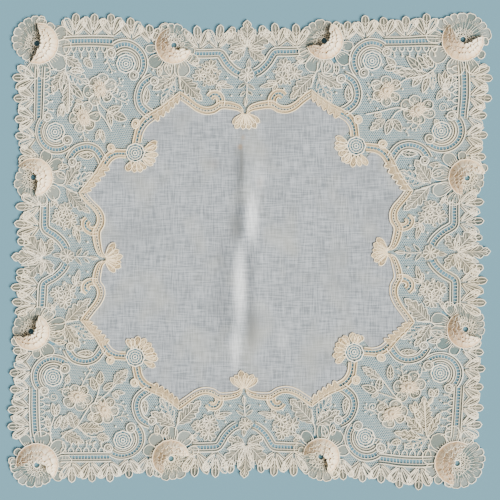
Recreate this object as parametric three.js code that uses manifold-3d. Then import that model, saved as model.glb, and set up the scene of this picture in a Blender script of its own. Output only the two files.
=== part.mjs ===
// A square lace handkerchief: a sheer linen centre inside one wide ring of needle lace.
// Twelve roses of the lace carry raised, ruffled petals, and eight open flowers a padded heart.
// Millimetres, +Z up, lying flat on Z = 0 with its middle at the origin.
import * as THREE from "three";
import { mergeVertices } from "three/addons/utils/BufferGeometryUtils.js";
import Module from "manifold-3d";

const wasm = await Module();
wasm.setup();

// Driving dimensions
const NET_THICKNESS = 1.0;
const WORK_THICKNESS = 1.8;
const LINEN_THICKNESS = 1.0;
const SEAM_GAP = 0.3;
const EDGE_AT_MIDDLE = 158.5;
const EDGE_RISE_TO_CORNER = 4.5;
const CORNER_ROSE = 146;
const EDGE_WORK_DEPTH = 16.8;
const SPRIG_PITCH = 13.4;
const BAND_WIDTH = 5.6;
const WHEEL_RADIUS = 6.6;
const CORNER_WHEEL = 74;
const ROSE_GAUZE_RADIUS = 17;
const FLOWER_RADIUS = 9.6;
const HEART_RADIUS = 2.8;
const HEART_HEIGHT = 1.5;
const LYING_SHIFT = [1.22, 0.73];

const DEGREE = Math.PI / 180;

// How the worn square lies: at each place of the even layout, how far the lace is pulled from it.
// Columns: place x, place y, pull x, pull y.
const PULLS = [
  [-146, 146, 0, -0.7],
  [146, 146, 2.7, 0.6],
  [-146, -146, -2, 0],
  [146, -146, -3.5, -2],
  [-52.5, 145, -0.3, -1.8],
  [52.5, 145, -1.8, 1],
  [-52.5, -145, -3.1, 1.8],
  [52.5, -145, -4.5, 1.8],
  [-145, 52.5, -3.7, -2.5],
  [-145, -52.5, -7.2, -3.1],
  [145, 52.5, 5.1, -1.8],
  [145, -52.5, 4.4, -3.1],
  [0, 144, -2.1, 0.6],
  [0, -144, -2.8, 5],
  [-144, 0, -3.3, -5.6],
  [144, 0, 3.3, -1.4],
  [-74, 74, -5.9, -6.6],
  [74, 74, -0.3, -1.7],
  [-74, -74, -5.9, -0.4],
  [74, -74, -1.7, 3.1],
  [-85, 130.5, -1.2, -1.2],
  [85, 130.5, -0.2, 0.9],
  [-85, -130.5, -3.3, -1.6],
  [85, -130.5, -5.1, 0.5],
  [-130.5, 85, -5, -3],
  [130.5, 85, 2.2, -2.3],
  [-130.5, -85, -6.4, -3.3],
  [130.5, -85, 1.5, -0.5],
  [0, 94, -3.5, -0.9],
  [0, -94, -4.2, -0.5],
  [-94, 0, -4.7, -6.3],
  [94, 0, -0.2, -1.4],
  [-46.5, 105.5, -2.2, -0.6],
  [46.5, 105.5, -4.1, 0.8],
  [-46.5, -105.5, -2.8, -0.1],
  [46.5, -105.5, -3.5, 1.9],
  [-105.5, 46.5, -8.5, -6.9],
  [-105.5, -46.5, -7.1, -2.2],
  [105.5, 46.5, 2.2, -5.5],
  [105.5, -46.5, 3.6, -3.5],
];

function asItLies([x, y]) {
  let weightSum = 0;
  let pullX = 0;
  let pullY = 0;
  for (const [placeX, placeY, byX, byY] of PULLS) {
    const weight = 1 / (1 + ((x - placeX) ** 2 + (y - placeY) ** 2) ** 1.25);
    weightSum += weight;
    pullX += weight * byX;
    pullY += weight * byY;
  }
  return [x + pullX / weightSum + LYING_SHIFT[0], y + pullY / weightSum + LYING_SHIFT[1]];
}

// Outlines of the lace motifs, each an array of [x, y] corners
function alongHeading([x, y], heading, forward, sideways) {
  const c = Math.cos(heading * DEGREE);
  const s = Math.sin(heading * DEGREE);
  return [x + forward * c - sideways * s, y + forward * s + sideways * c];
}

function leaf(x, y, heading, length, width) {
  const profile = [
    [0, 0],
    [0.4, 0.5],
    [0.72, 0.38],
    [1, 0],
    [0.72, -0.38],
    [0.4, -0.5],
  ];
  return profile.map(([along, across]) => alongHeading([x, y], heading, along * length, across * width));
}

function petal(x, y, heading, length, width) {
  const profile = [
    [0, 0],
    [0.75, 0.5],
    [1, 0.16],
    [1, -0.16],
    [0.75, -0.5],
  ];
  return profile.map(([along, across]) => alongHeading([x, y], heading, along * length, across * width));
}

function edgeSprig(x, tip) {
  // The outer line of one blunt-tipped leaf between two shorter ones, from left to right
  const profile = [
    [-0.5, 0.6],
    [-0.3, 0.75],
    [-0.13, 1],
    [0.13, 1],
    [0.3, 0.75],
  ];
  return profile.map(([across, up]) => [x + across * SPRIG_PITCH, tip - EDGE_WORK_DEPTH * (1 - up)]);
}

function lobedDisc(x, y, radius, lobes, dip, turn = 0) {
  const outline = [];
  for (let lobe = 0; lobe < lobes; lobe += 1) {
    const middle = turn + (360 / lobes) * lobe;
    outline.push(alongHeading([x, y], middle - 180 / lobes, radius - dip, 0));
    outline.push(alongHeading([x, y], middle - 80 / lobes, radius, 0));
    outline.push(alongHeading([x, y], middle + 80 / lobes, radius, 0));
  }
  return outline;
}

function fan(x, y, heading, spread, petals, reach, dip) {
  const outline = [[x, y]];
  const step = (2 * spread) / petals;
  for (let petal = 0; petal < petals; petal += 1) {
    const middle = heading - spread + step * (petal + 0.5);
    outline.push(alongHeading([x, y], middle - step * 0.46, reach - dip, 0));
    outline.push(alongHeading([x, y], middle - step * 0.2, reach, 0));
    outline.push(alongHeading([x, y], middle + step * 0.2, reach, 0));
  }
  outline.push(alongHeading([x, y], heading + spread, reach - dip, 0));
  return outline;
}

function disc(x, y, radius, sides) {
  return Array.from({ length: sides }, (_, side) => alongHeading([x, y], (360 / sides) * side, radius, 0));
}

function band(route, width) {
  const left = [];
  const right = [];
  route.forEach(([x, y], index) => {
    const before = route[Math.max(index - 1, 0)];
    const after = route[Math.min(index + 1, route.length - 1)];
    const heading = Math.atan2(after[1] - before[1], after[0] - before[0]) / DEGREE;
    left.push(alongHeading([x, y], heading, 0, width / 2));
    right.unshift(alongHeading([x, y], heading, 0, -width / 2));
  });
  return [...left, ...right];
}

function arcRoute(x, y, radius, from, to, steps) {
  return Array.from({ length: steps + 1 }, (_, step) =>
    alongHeading([x, y], from + ((to - from) * step) / steps, radius, 0),
  );
}

// A motif of the top side, turned to side 0 to 3 clockwise and mirrored if wanted
function onSide(outline, side, mirrored) {
  return outline.map(([x, y]) => {
    const across = mirrored ? -x : x;
    return alongHeading([0, 0], -90 * side, across, y);
  });
}

function inCorner(outline, signX, signY) {
  return outline.map(([x, y]) => [signX * x, signY * y]);
}

// Solids
function solidFrom(geometry) {
  geometry.deleteAttribute("normal");
  geometry.deleteAttribute("uv");
  const merged = mergeVertices(geometry, 1e-4);
  const mesh = new wasm.Mesh({
    numProp: 3,
    vertProperties: new Float32Array(merged.attributes.position.array),
    triVerts: new Uint32Array(merged.index.array),
  });
  return new wasm.Manifold(mesh);
}

function geometryFrom(solid) {
  const mesh = solid.getMesh();
  const geometry = new THREE.BufferGeometry();
  geometry.setAttribute("position", new THREE.BufferAttribute(mesh.vertProperties, 3));
  geometry.setIndex(new THREE.BufferAttribute(mesh.triVerts, 1));
  geometry.computeVertexNormals();
  return geometry;
}

function plate(outline, thickness, opening = null) {
  // The outer line runs counterclockwise, so that the extrusion can turn its opening's line itself
  const corners = outline.map(([x, y]) => new THREE.Vector2(x, y));
  const shape = new THREE.Shape(THREE.ShapeUtils.isClockWise(corners) ? corners.reverse() : corners);
  if (opening) {
    shape.holes.push(new THREE.Path(opening.map(([x, y]) => new THREE.Vector2(x, y))));
  }
  return solidFrom(new THREE.ExtrudeGeometry(shape, { depth: thickness, bevelEnabled: false }));
}

function joined(solids) {
  return solids.reduce((whole, solid) => whole.add(solid));
}

function edgeHeight(x) {
  return EDGE_AT_MIDDLE + EDGE_RISE_TO_CORNER * (x / CORNER_ROSE) ** 2;
}

// The wavy line where linen and lace meet, from the middle of a side to its corner
const CENTRE_SHELL = { y: 97, reach: 12.5, dip: 1.8, petals: 5, spread: 85 };
const CORNER_SHELL = { reach: 14.5, dip: 2, petals: 6, spread: 74 };
const FRAME_WAVE = [
  [9.8, 99],
  [17, 99.4],
  [22, 96.6],
  [28.5, 95.8],
  [35, 97.8],
  [40.5, 101.4],
  [46.5, 105.5],
  [51.5, 101.2],
  [57, 96.8],
  [63, 93.6],
  [68, 90.6],
  [70.6, 86],
];

const FRAME_OUTER = [
  [0, 101.6],
  [9.8, 103.4],
  [18.5, 104],
  [24, 100.9],
  [29, 100.4],
  [34, 102.2],
  [38.5, 105.2],
  [46.5, 110.8],
  [54, 105],
  [59, 100.9],
  [66, 97.4],
  [73, 93],
  [75.5, 87],
  [80, 80],
];

function linenLine() {
  const { y, spread, petals, reach, dip } = CENTRE_SHELL;
  const shell = fan(0, y, -90, spread, petals, reach, dip).slice(1);
  const cornerShell = fan(CORNER_WHEEL, CORNER_WHEEL, 225, CORNER_SHELL.spread, CORNER_SHELL.petals,
    CORNER_SHELL.reach, CORNER_SHELL.dip).slice(1);
  const mirroredWave = FRAME_WAVE.map(([across, up]) => [-across, up]).reverse();
  const sideLine = [...mirroredWave, ...shell, ...FRAME_WAVE, ...cornerShell];
  return [0, 1, 2, 3].flatMap((side) => onSide(sideLine, side, false)).map(asItLies);
}

function inset(outline, distance) {
  // The outline runs clockwise, so its inside is on the right of each edge
  return outline.map(([x, y], index) => {
    const before = outline[(index + outline.length - 1) % outline.length];
    const after = outline[(index + 1) % outline.length];
    const arriving = new THREE.Vector2(x - before[0], y - before[1]).normalize();
    const leaving = new THREE.Vector2(after[0] - x, after[1] - y).normalize();
    const bisector = new THREE.Vector2(arriving.y + leaving.y, -arriving.x - leaving.x).normalize();
    const reach = distance / Math.max(bisector.dot(new THREE.Vector2(arriving.y, -arriving.x)), 0.4);
    return [x + bisector.x * reach, y + bisector.y * reach];
  });
}

// Linen: one sheet whose ironed fold stands up as a ridge in its upper half and lies between two
// low swells in its lower half
const FOLD = { x: -2.5, ridge: 2.4, ridgeWidth: 5, swell: 1.5, swellWidth: 5.5, swellPlace: 8, end: 78 };
const LEAST_LIFT = 0.04;
const LINEN_COLUMNS = [-120, -19, -14.5, -11, -8, -5, -2.5, 0, 2.5, 5, 8, 11, 14.5, 19, 120];
const LINEN_ROWS = [-120, -80, -68, -56, -20, -8, 2, 14, 56, 68, 80, 120];

function bump(distance, width) {
  return Math.exp(-((distance / width) ** 2));
}

function linenLift(x, y) {
  const across = x - FOLD.x;
  const fade = 1 - THREE.MathUtils.smoothstep(Math.abs(y), FOLD.end * 0.7, FOLD.end);
  const upper = THREE.MathUtils.smoothstep(y, -8, 16);
  const ridge = FOLD.ridge * bump(across, FOLD.ridgeWidth);
  const leftSwell = FOLD.swell * bump(across + FOLD.swellPlace, FOLD.swellWidth);
  const rightSwell = 0.7 * FOLD.swell * bump(across - FOLD.swellPlace, FOLD.swellWidth);
  const lift = fade * (upper * ridge + (1 - upper) * (leftSwell + rightSwell));
  return lift > LEAST_LIFT ? lift : 0;
}

function linenCentre(edge) {
  const columns = LINEN_COLUMNS.length - 1;
  const rows = LINEN_ROWS.length - 1;
  const slab = new THREE.BoxGeometry(columns, rows, 1, columns, rows, 1);
  const place = slab.attributes.position;
  for (let i = 0; i < place.count; i += 1) {
    const x = LINEN_COLUMNS[Math.round(place.getX(i) + columns / 2)] + FOLD.x;
    const y = LINEN_ROWS[Math.round(place.getY(i) + rows / 2)];
    const top = place.getZ(i) > 0;
    place.setXYZ(i, x, y, linenLift(x, y) + (top ? LINEN_THICKNESS : 0));
  }
  const cutter = plate(inset(edge, SEAM_GAP), 2 * (LINEN_THICKNESS + FOLD.ridge));
  return solidFrom(slab).intersect(cutter.translate([0, 0, -1]));
}

// Lace border: net ground, leaf edge, gauze roses, ladder bands, wheels, scrolls and leaves
const EDGE_SPRIGS = [20.8, 34.2, 67.5, 80.9, 94.3, 107.7, 121.1];
const SIDE_ROSE = [52.5, 145];
const SIDE_ROSE_PETALS = [
  // base x, base y, heading, length, width
  [58, 142, -8, 13, 12],
  [44, 136, 222, 12, 10],
  [55, 134, 290, 11, 10],
];
const SIDE_LEAVES = [
  [47.5, 122, 226, 23, 9],
  [49.5, 123, 326, 18.5, 8],
  [51.5, 117, 300, 19, 7.5],
  [15.5, 116, 182, 12, 3.6],
];
const V_BAND = [
  [36, 139],
  [17, 138.6],
  [11, 133],
  [0, 121.5],
];
const SCROLL = [
  [64, 121.5],
  [70.5, 120.5],
  [75.6, 115.5],
  [77.6, 108.4],
  [75.4, 101.6],
  [68.5, 95.5],
];
const CORNER_BAND = [
  [88, 143.6],
  [126, 143.9],
];
const WHEEL = [85, 130.5];
const WHEEL_BAND = { radius: 11.8, from: 72, to: 216, steps: 6 };
const CURL = { x: 79.3, y: 122.6, radius: 3.6 };
const CLUSTER = { x: 26, y: 125, radius: 9.4, lobes: 5, dip: 2 };
const CORNER_ROSE_PETALS = [
  [134, 145, 180, 9, 12],
  [145, 134, 270, 9, 12],
  [136, 136, 208, 13, 6.5],
  [136, 136, 242, 13, 6.5],
];
const CORNERS = [
  { name: "top_left", sign: [-1, 1], flowers: [[102, 113], [112, 94.5]], turn: 0 },
  { name: "top_right", sign: [1, 1], flowers: [[95, 110], [115, 98]], turn: -6 },
  { name: "bottom_left", sign: [-1, -1], flowers: [[94, 109.5], [113, 99]], turn: 5 },
  { name: "bottom_right", sign: [1, -1], flowers: [[101, 113], [110, 94]], turn: -3 },
];
const BOUQUET_LEAVES = [
  [127, 123, 196, 19, 8],
  [126, 122, 225, 24, 8.5],
  [123, 127, 254, 19, 8],
  [97, 97, 225, 15, 7],
  [86, 104, 250, 13, 5.5],
  [104, 84, 205, 13, 5.5],
];

function eachHalfSide(outline) {
  return [0, 1, 2, 3].flatMap((side) => [onSide(outline, side, false), onSide(outline, side, true)]);
}

function eachSide(outline) {
  return [0, 1, 2, 3].map((side) => onSide(outline, side, false));
}

function edgeWork() {
  const left = [...EDGE_SPRIGS].reverse().map((x) => -x);
  const outer = [...left, ...EDGE_SPRIGS].flatMap((x) => edgeSprig(x, edgeHeight(x)));
  const inner = [-128, -85, -45, 0, 45, 85, 128].map((x) => [x, edgeHeight(x) - EDGE_WORK_DEPTH]);
  return plate(eachSide(outer).flat().map(asItLies), WORK_THICKNESS, eachSide(inner).flat().map(asItLies));
}

function netGround(edge) {
  const half = [0, 40, 80, 120, 150].map((x) => [x, edgeHeight(x) - EDGE_WORK_DEPTH / 3]);
  const side = [...half.slice(1).map(([x, y]) => [-x, y]).reverse(), ...half];
  return plate(eachSide(side).flat().map(asItLies), NET_THICKNESS, edge);
}

function laceBorder(edge) {
  const gauze = [
    ...eachSide(lobedDisc(CORNER_ROSE, CORNER_ROSE, ROSE_GAUZE_RADIUS + 1, 10, 1.6)),
    ...eachHalfSide(lobedDisc(...SIDE_ROSE, ROSE_GAUZE_RADIUS, 9, 1.6)),
    ...SIDE_ROSE_PETALS.flatMap((one) => eachHalfSide(petal(...one))),
    ...CORNER_ROSE_PETALS.flatMap((one) => eachSide(petal(...one))),
  ];
  const wheelArc = arcRoute(...WHEEL, WHEEL_BAND.radius, WHEEL_BAND.from, WHEEL_BAND.to, WHEEL_BAND.steps);
  const sideWork = [
    band(V_BAND, BAND_WIDTH),
    band(SCROLL, BAND_WIDTH),
    band(CORNER_BAND, BAND_WIDTH),
    band(wheelArc, BAND_WIDTH),
    disc(...WHEEL, WHEEL_RADIUS, 8),
    disc(CURL.x, CURL.y, CURL.radius, 6),
    lobedDisc(CLUSTER.x, CLUSTER.y, CLUSTER.radius, CLUSTER.lobes, CLUSTER.dip),
    ...SIDE_LEAVES.map((one) => leaf(...one)),
  ];
  const cornerWork = CORNERS.flatMap(({ sign, flowers, turn }) => [
    ...flowers.map(([x, y]) => inCorner(lobedDisc(x, y, FLOWER_RADIUS, 6, 3, turn * 3), ...sign)),
    ...BOUQUET_LEAVES.map(([x, y, heading, length, width]) =>
      inCorner(leaf(x, y, heading + turn, length, width), ...sign)),
  ]);
  const work = [
    ...sideWork.flatMap(eachHalfSide),
    ...eachSide(fan(0, 144, 90, 130, 9, 14.5, 3)),
    ...cornerWork,
  ];
  const mirroredBand = FRAME_OUTER.slice(1).map(([x, y]) => [-x, y]).reverse();
  const bandLine = eachSide([...mirroredBand, ...FRAME_OUTER.slice(0, -1)]).flat();
  const plates = [
    netGround(edge),
    edgeWork(),
    plate(bandLine.map(asItLies), WORK_THICKNESS, edge),
    ...[...gauze, ...work].map((outline) => plate(outline.map(asItLies), WORK_THICKNESS)),
  ];
  const opening = plate(edge, 4 * WORK_THICKNESS).translate([0, 0, -WORK_THICKNESS]);
  return joined(plates).subtract(opening);
}

// Raised rose petals: rows of petals lapped like shingles around the hollow side of a rose.
// Columns: name, eye x, eye y, heading of the crescent's middle, sweep, outer radius.
const ROSES = [
  ["top_left_corner", -150, 145.6, -4, 180, 15.6],
  ["top_left", -50.6, 145.1, 228, 225, 13],
  ["top_right", 51.6, 145.6, 312, 225, 13.3],
  ["top_right_corner", 146.3, 146.5, 272, 200, 14.6],
  ["right_upper", 146.9, 49.2, 146, 215, 13.8],
  ["right_lower", 147, -50.8, 214, 215, 13.6],
  ["bottom_right_corner", 149, -145, 176, 200, 15.6],
  ["bottom_right", 52.4, -147.2, 60, 215, 12.8],
  ["bottom_left", -49.9, -147.2, 130, 215, 13.3],
  ["bottom_left_corner", -146.2, -150.5, 90, 190, 15],
  ["left_lower", -144.3, -51.4, 320, 190, 13],
  ["left_upper", -147.8, 52.1, 6, 200, 13],
];
// Columns: share of the way from the outer to the inner edge, height.
const PETAL_ROWS = [
  [0, 1.6],
  [0.22, 3],
  [0.27, 2.4],
  [0.48, 4.2],
  [0.53, 3.5],
  [0.76, 5.4],
  [1, 4.4],
];
const PETAL_STEPS = 12;
const CRESCENT_WIDTH = 0.8;
const RUFFLE = 0.45;
const ROSE_SEAT = WORK_THICKNESS + SEAM_GAP;

function rosePetals(x, y, heading, sweep, radius) {
  const rows = PETAL_ROWS.length - 1;
  const form = new THREE.BoxGeometry(PETAL_STEPS, rows, 1, PETAL_STEPS, rows, 1);
  const place = form.attributes.position;
  for (let i = 0; i < place.count; i += 1) {
    const step = Math.round(place.getX(i) + PETAL_STEPS / 2);
    const row = Math.round(rows / 2 - place.getY(i));
    const along = (2 * step) / PETAL_STEPS - 1;
    const taper = Math.sqrt(1 - 0.82 * along ** 2);
    const ruffle = step % 2 === 0 ? RUFFLE : -RUFFLE;
    const [share, height] = PETAL_ROWS[row];
    const reach = radius * (1 - CRESCENT_WIDTH * taper * share) + ruffle * (1 - share);
    const top = place.getZ(i) > 0;
    const lift = top ? height * (0.5 + 0.5 * taper) + 0.5 * ruffle : -1;
    const [px, py] = alongHeading(asItLies([x, y]), heading - (along * sweep) / 2, reach, 0);
    place.setXYZ(i, px, py, ROSE_SEAT + lift);
  }
  const under = plate(disc(...asItLies([x, y]), 2 * radius, 8), ROSE_SEAT + 1).translate([0, 0, -1]);
  return solidFrom(form).subtract(under);
}

// Flower heart: a low padded ring
function flowerHeart(x, y) {
  const profile = [
    [0, 0],
    [HEART_RADIUS, 0],
    [HEART_RADIUS * 0.92, HEART_HEIGHT * 0.7],
    [HEART_RADIUS * 0.6, HEART_HEIGHT],
    [HEART_RADIUS * 0.25, HEART_HEIGHT * 0.6],
    [0, HEART_HEIGHT * 0.5],
  ].map(([across, up]) => new THREE.Vector2(across, up));
  const ring = new THREE.LatheGeometry(profile, 10).rotateX(Math.PI / 2);
  return solidFrom(ring).translate([...asItLies([x, y]), ROSE_SEAT]);
}

// Pieces
const LINEN_COLOUR = 0xc8ced2;
const LACE_COLOUR = 0xe2d5c2;
const PETAL_COLOUR = 0xf0e2cf;
const HEART_COLOUR = 0xd9bd94;

function named(name, solid, colour) {
  const material = new THREE.MeshStandardMaterial({ color: colour, roughness: 0.9, metalness: 0 });
  const mesh = new THREE.Mesh(geometryFrom(solid), material);
  mesh.name = name;
  return mesh;
}

const edge = linenLine();
const handkerchief = new THREE.Group();
handkerchief.add(named("linen_centre", linenCentre(edge), LINEN_COLOUR));
handkerchief.add(named("lace_border", laceBorder(edge), LACE_COLOUR));
for (const [name, ...place] of ROSES) {
  handkerchief.add(named(`rose_petals_${name}`, rosePetals(...place), PETAL_COLOUR));
}
for (const { name, sign, flowers } of CORNERS) {
  flowers.forEach(([x, y], index) => {
    const heart = flowerHeart(sign[0] * x, sign[1] * y);
    handkerchief.add(named(`flower_heart_${name}_${index + 1}`, heart, HEART_COLOUR));
  });
}

export default handkerchief;
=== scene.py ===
import math
from functools import partial

import bpy
import numpy as np
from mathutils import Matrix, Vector, geometry


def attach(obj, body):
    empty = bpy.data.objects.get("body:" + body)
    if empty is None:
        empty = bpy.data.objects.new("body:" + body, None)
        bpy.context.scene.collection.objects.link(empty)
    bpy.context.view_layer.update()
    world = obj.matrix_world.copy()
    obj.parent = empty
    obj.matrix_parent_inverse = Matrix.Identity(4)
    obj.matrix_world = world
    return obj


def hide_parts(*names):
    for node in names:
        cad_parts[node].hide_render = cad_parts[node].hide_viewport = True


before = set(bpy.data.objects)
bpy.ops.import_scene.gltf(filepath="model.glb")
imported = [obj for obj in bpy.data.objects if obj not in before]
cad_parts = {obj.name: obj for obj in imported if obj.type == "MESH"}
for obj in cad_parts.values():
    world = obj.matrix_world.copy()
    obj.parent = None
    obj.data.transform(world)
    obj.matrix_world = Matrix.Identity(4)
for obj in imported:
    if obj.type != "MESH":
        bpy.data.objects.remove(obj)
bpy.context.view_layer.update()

# Linen centre: one square of sheer cambric, cut to a wavy line and whipped to the lace along it.
# It was ironed in two, and that fold still stands up in its upper half and sinks in its lower half
# between two low swells. Places are in millimetres of the even layout until a mesh is made.
MM = 0.001
LYING_SHIFT = (1.22, 0.73)

# How the worn square lies: place x, place y of the even layout, and how far it is pulled in x and y
PULLS = np.array([
    (-146, 146, 0, -0.7), (146, 146, 2.7, 0.6), (-146, -146, -2, 0), (146, -146, -3.5, -2),
    (-52.5, 145, -0.3, -1.8), (52.5, 145, -1.8, 1), (-52.5, -145, -3.1, 1.8), (52.5, -145, -4.5, 1.8),
    (-145, 52.5, -3.7, -2.5), (-145, -52.5, -7.2, -3.1), (145, 52.5, 5.1, -1.8), (145, -52.5, 4.4, -3.1),
    (0, 144, -2.1, 0.6), (0, -144, -2.8, 5), (-144, 0, -3.3, -5.6), (144, 0, 3.3, -1.4),
    (-74, 74, -5.9, -6.6), (74, 74, -0.3, -1.7), (-74, -74, -5.9, -0.4), (74, -74, -1.7, 3.1),
    (-85, 130.5, -1.2, -1.2), (85, 130.5, -0.2, 0.9), (-85, -130.5, -3.3, -1.6), (85, -130.5, -5.1, 0.5),
    (-130.5, 85, -5, -3), (130.5, 85, 2.2, -2.3), (-130.5, -85, -6.4, -3.3), (130.5, -85, 1.5, -0.5),
    (0, 94, -3.5, -0.9), (0, -94, -4.2, -0.5), (-94, 0, -4.7, -6.3), (94, 0, -0.2, -1.4),
    (-46.5, 105.5, -2.2, -0.6), (46.5, 105.5, -4.1, 0.8), (-46.5, -105.5, -2.8, -0.1),
    (46.5, -105.5, -3.5, 1.9), (-105.5, 46.5, -8.5, -6.9), (-105.5, -46.5, -7.1, -2.2),
    (105.5, 46.5, 2.2, -5.5), (105.5, -46.5, 3.6, -3.5),
])


def pulled(places, pulls):
    """How far the cloth is pulled at rows of x, y."""
    apart = ((places[:, None, :] - pulls[None, :, :2]) ** 2).sum(axis=2)
    weight = 1 / (1 + apart ** 1.25)
    return weight @ pulls[:, 2:] / weight.sum(axis=1, keepdims=True)


def as_it_lies(places):
    """Rows of x, y in the even layout, moved to where the pulled cloth lies."""
    lots = np.array_split(places, len(places) // 20000 + 1)
    return np.concatenate([some + pulled(some, PULLS) + LYING_SHIFT for some in lots])


def drawn_at(x, y, heading, forward, sideways=0.0):
    """Rows of x, y that lie forward and to the left of a point along a heading in degrees."""
    c, s = np.cos(np.radians(heading)), np.sin(np.radians(heading))
    forward, sideways = np.asarray(forward, dtype=float), np.asarray(sideways, dtype=float)
    at = np.broadcast_arrays(x + forward * c - sideways * s, y + forward * s + sideways * c)
    return np.stack(at, axis=-1)


def on_side(places, side, hand=1):
    """A line of the top side's right half, turned clockwise to side 0 to 3. A hand of -1 mirrors it."""
    places = np.asarray(places, dtype=float)
    return drawn_at(0, 0, -90 * side, hand * places[:, 0], places[:, 1])


HALF_SIDES = [partial(on_side, side=side, hand=hand) for side in range(4) for hand in (1, -1)]
WHOLE_SIDES = [partial(on_side, side=side) for side in range(4)]
# How much further out the worn edge reaches at each of these places along a side, a row for each side
EDGE_PLACES = (-121, -107.7, -94.3, -80.9, -67.5, -34.2, -20.8, 0, 20.8, 34.2, 67.5, 80.9, 94.3, 107.7, 121)
EDGE_REACH = [
    (3.4, 4.1, 4.8, 2.8, -1.4, -2.5, -2.4, -0.7, -1, -2, -1.4, 2.1, 0.7, 0.7, 2.7),
    (4.2, 4.9, 1.4, 2.1, 0, -0.4, 0.6, 4.1, 3, 1.7, -0.7, 1.4, 0.6, 0.7, 1.4),
    (3.5, 4.2, 1.4, 2.1, 1.4, 0, 1.4, 2.7, 2.1, 0, -2.1, -2.1, -0.7, -0.7, -0.7),
    (2.8, 2.1, 0.7, 0.7, -1.4, 0.4, 2.1, 2.1, 1.4, -1, -2.8, -1.4, -1.4, -0.7, 0.7),
]
EDGE_MIDST = 157
edge_places = np.concatenate([place([(x, EDGE_MIDST) for x in EDGE_PLACES]) for place in WHOLE_SIDES])
outward = np.concatenate([place([(0, out) for out in row]) for place, row in zip(WHOLE_SIDES, EDGE_REACH)])
PULLS = np.concatenate((PULLS, np.hstack((edge_places, pulled(edge_places, PULLS) + outward))))


def eased(corners, step=0.8, closed=False):
    """A smooth line through the corners, in steps of about that many millimetres."""
    corners = np.asarray(corners, dtype=float)
    if closed:
        route = np.concatenate((corners[-1:], corners, corners[:2]))
    else:
        route = np.concatenate((2 * corners[:1] - corners[1:2], corners, 2 * corners[-1:] - corners[-2:-1]))
    stretches = []
    for before, start, end, after in zip(route, route[1:], route[2:], route[3:]):
        count = max(2, round(np.linalg.norm(end - start) / step))
        t = np.arange(count)[:, None] / count
        bend = (2 * before - 5 * start + 4 * end - after) * t ** 2
        bend = bend + (3 * start - before - 3 * end + after) * t ** 3
        stretches.append(start + 0.5 * ((end - before) * t + bend))
    if not closed:
        stretches.append(corners[-1:])
    return np.concatenate(stretches)


def beside(line, distance, closed=False):
    """The line shifted to its left by a distance."""
    ahead = np.roll(line, -1, axis=0) - np.roll(line, 1, axis=0) if closed else np.gradient(line, axis=0)
    ahead = ahead / np.maximum(np.linalg.norm(ahead, axis=1, keepdims=True), 1e-9)
    return line + np.stack((-ahead[:, 1], ahead[:, 0]), axis=1) * distance


def scalloped_arc(x, y, heading, spread, petals, reach, dip, steps=6):
    """The outer line of a fan of round petals, from its right end to its left end."""
    turn = np.linspace(0, petals, petals * steps + 1)
    radius = reach - dip * (1 - np.abs(np.sin(turn * np.pi)) ** 0.6)
    return drawn_at(x, y, heading - spread + turn * 2 * spread / petals, radius)


CENTRE_SHELL_Y = 97
CENTRE_SHELL = {"spread": 60, "petals": 6, "reach": 13.2, "dip": 1.6}
SHELL_FOOT = (3.6, 96.4)
CORNER_WHEEL = 74
CORNER_SHELL = {"spread": 74, "petals": 6, "reach": 14.5, "dip": 2}
FRAME_WAVE = [
    (9.8, 99), (17, 99.4), (22, 96.6), (28.5, 95.8), (35, 97.8), (40.5, 101.4), (46.5, 105.5),
    (51.5, 101.2), (57, 96.8), (63, 93.6), (68, 90.6), (70.6, 86),
]
LINEN_HEIGHT = 0.75
LINEN_TUCK = 1.0
LINEN_GRID = 2.2
LINEN_REACH = 130
RIM_ROOM = 1.2
FOLD = {"x": -2.5, "ridge": 3, "ridge_width": 4.6, "end": 78, "fading": 0.7, "ridge_from": (-8, 16)}
SWELL = {"height": 3.2, "width": 4.6, "place": 7}
# Columns: left or right, share of the height, how much broader the outer bank is
SWELLS = [(-1, 1, 2.2), (1, 0.7, 1.8)]
CROSS_CREASE = {"y": 4.2, "depth": 0.3, "width": 2.6}
SLACK = 0.1


def linen_line():
    """The wavy seam of linen and lace, clockwise round the whole square."""
    centre = scalloped_arc(0, CENTRE_SHELL_Y, -90, **CENTRE_SHELL)
    corner = scalloped_arc(CORNER_WHEEL, CORNER_WHEEL, 225, **CORNER_SHELL)
    wave = eased(FRAME_WAVE, step=2)
    foot = np.array([SHELL_FOOT])
    one_side = np.concatenate(((wave * (-1, 1))[::-1], foot * (-1, 1), centre, foot, wave, corner))
    return np.concatenate([place(one_side) for place in WHOLE_SIDES])


def smooth_step(value, low, high):
    share = np.clip((value - low) / (high - low), 0, 1)
    return share * share * (3 - 2 * share)


def linen_lift(x, y):
    """How far the ironed fold and the cloth's slack raise the linen."""
    across = x - FOLD["x"]
    fade = 1 - smooth_step(np.abs(y), FOLD["end"] * FOLD["fading"], FOLD["end"])
    upper = smooth_step(y, *FOLD["ridge_from"])
    ridge = FOLD["ridge"] * np.exp(-(across / FOLD["ridge_width"]) ** 2)
    swells = 0
    for way, share, breadth in SWELLS:
        past = way * across - SWELL["place"]
        bank = SWELL["width"] * np.where(past > 0, breadth, 1)
        swells = swells + share * SWELL["height"] * np.exp(-(past / bank) ** 2)
    crease = CROSS_CREASE["depth"] * np.exp(-((y - CROSS_CREASE["y"]) / CROSS_CREASE["width"]) ** 2)
    slack = SLACK * (np.sin(x / 11 + y / 37) + np.sin(y / 9 - x / 30) + np.sin(x / 23 + 1.7) * np.sin(y / 17))
    return fade * (upper * ridge + (1 - upper) * swells) - crease + slack


def twice_area(outline):
    """Twice the area inside a closed outline, below zero where it runs clockwise."""
    after = np.roll(outline, -1, axis=0)
    return np.sum(outline[:, 0] * after[:, 1] - after[:, 0] * outline[:, 1])


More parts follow.
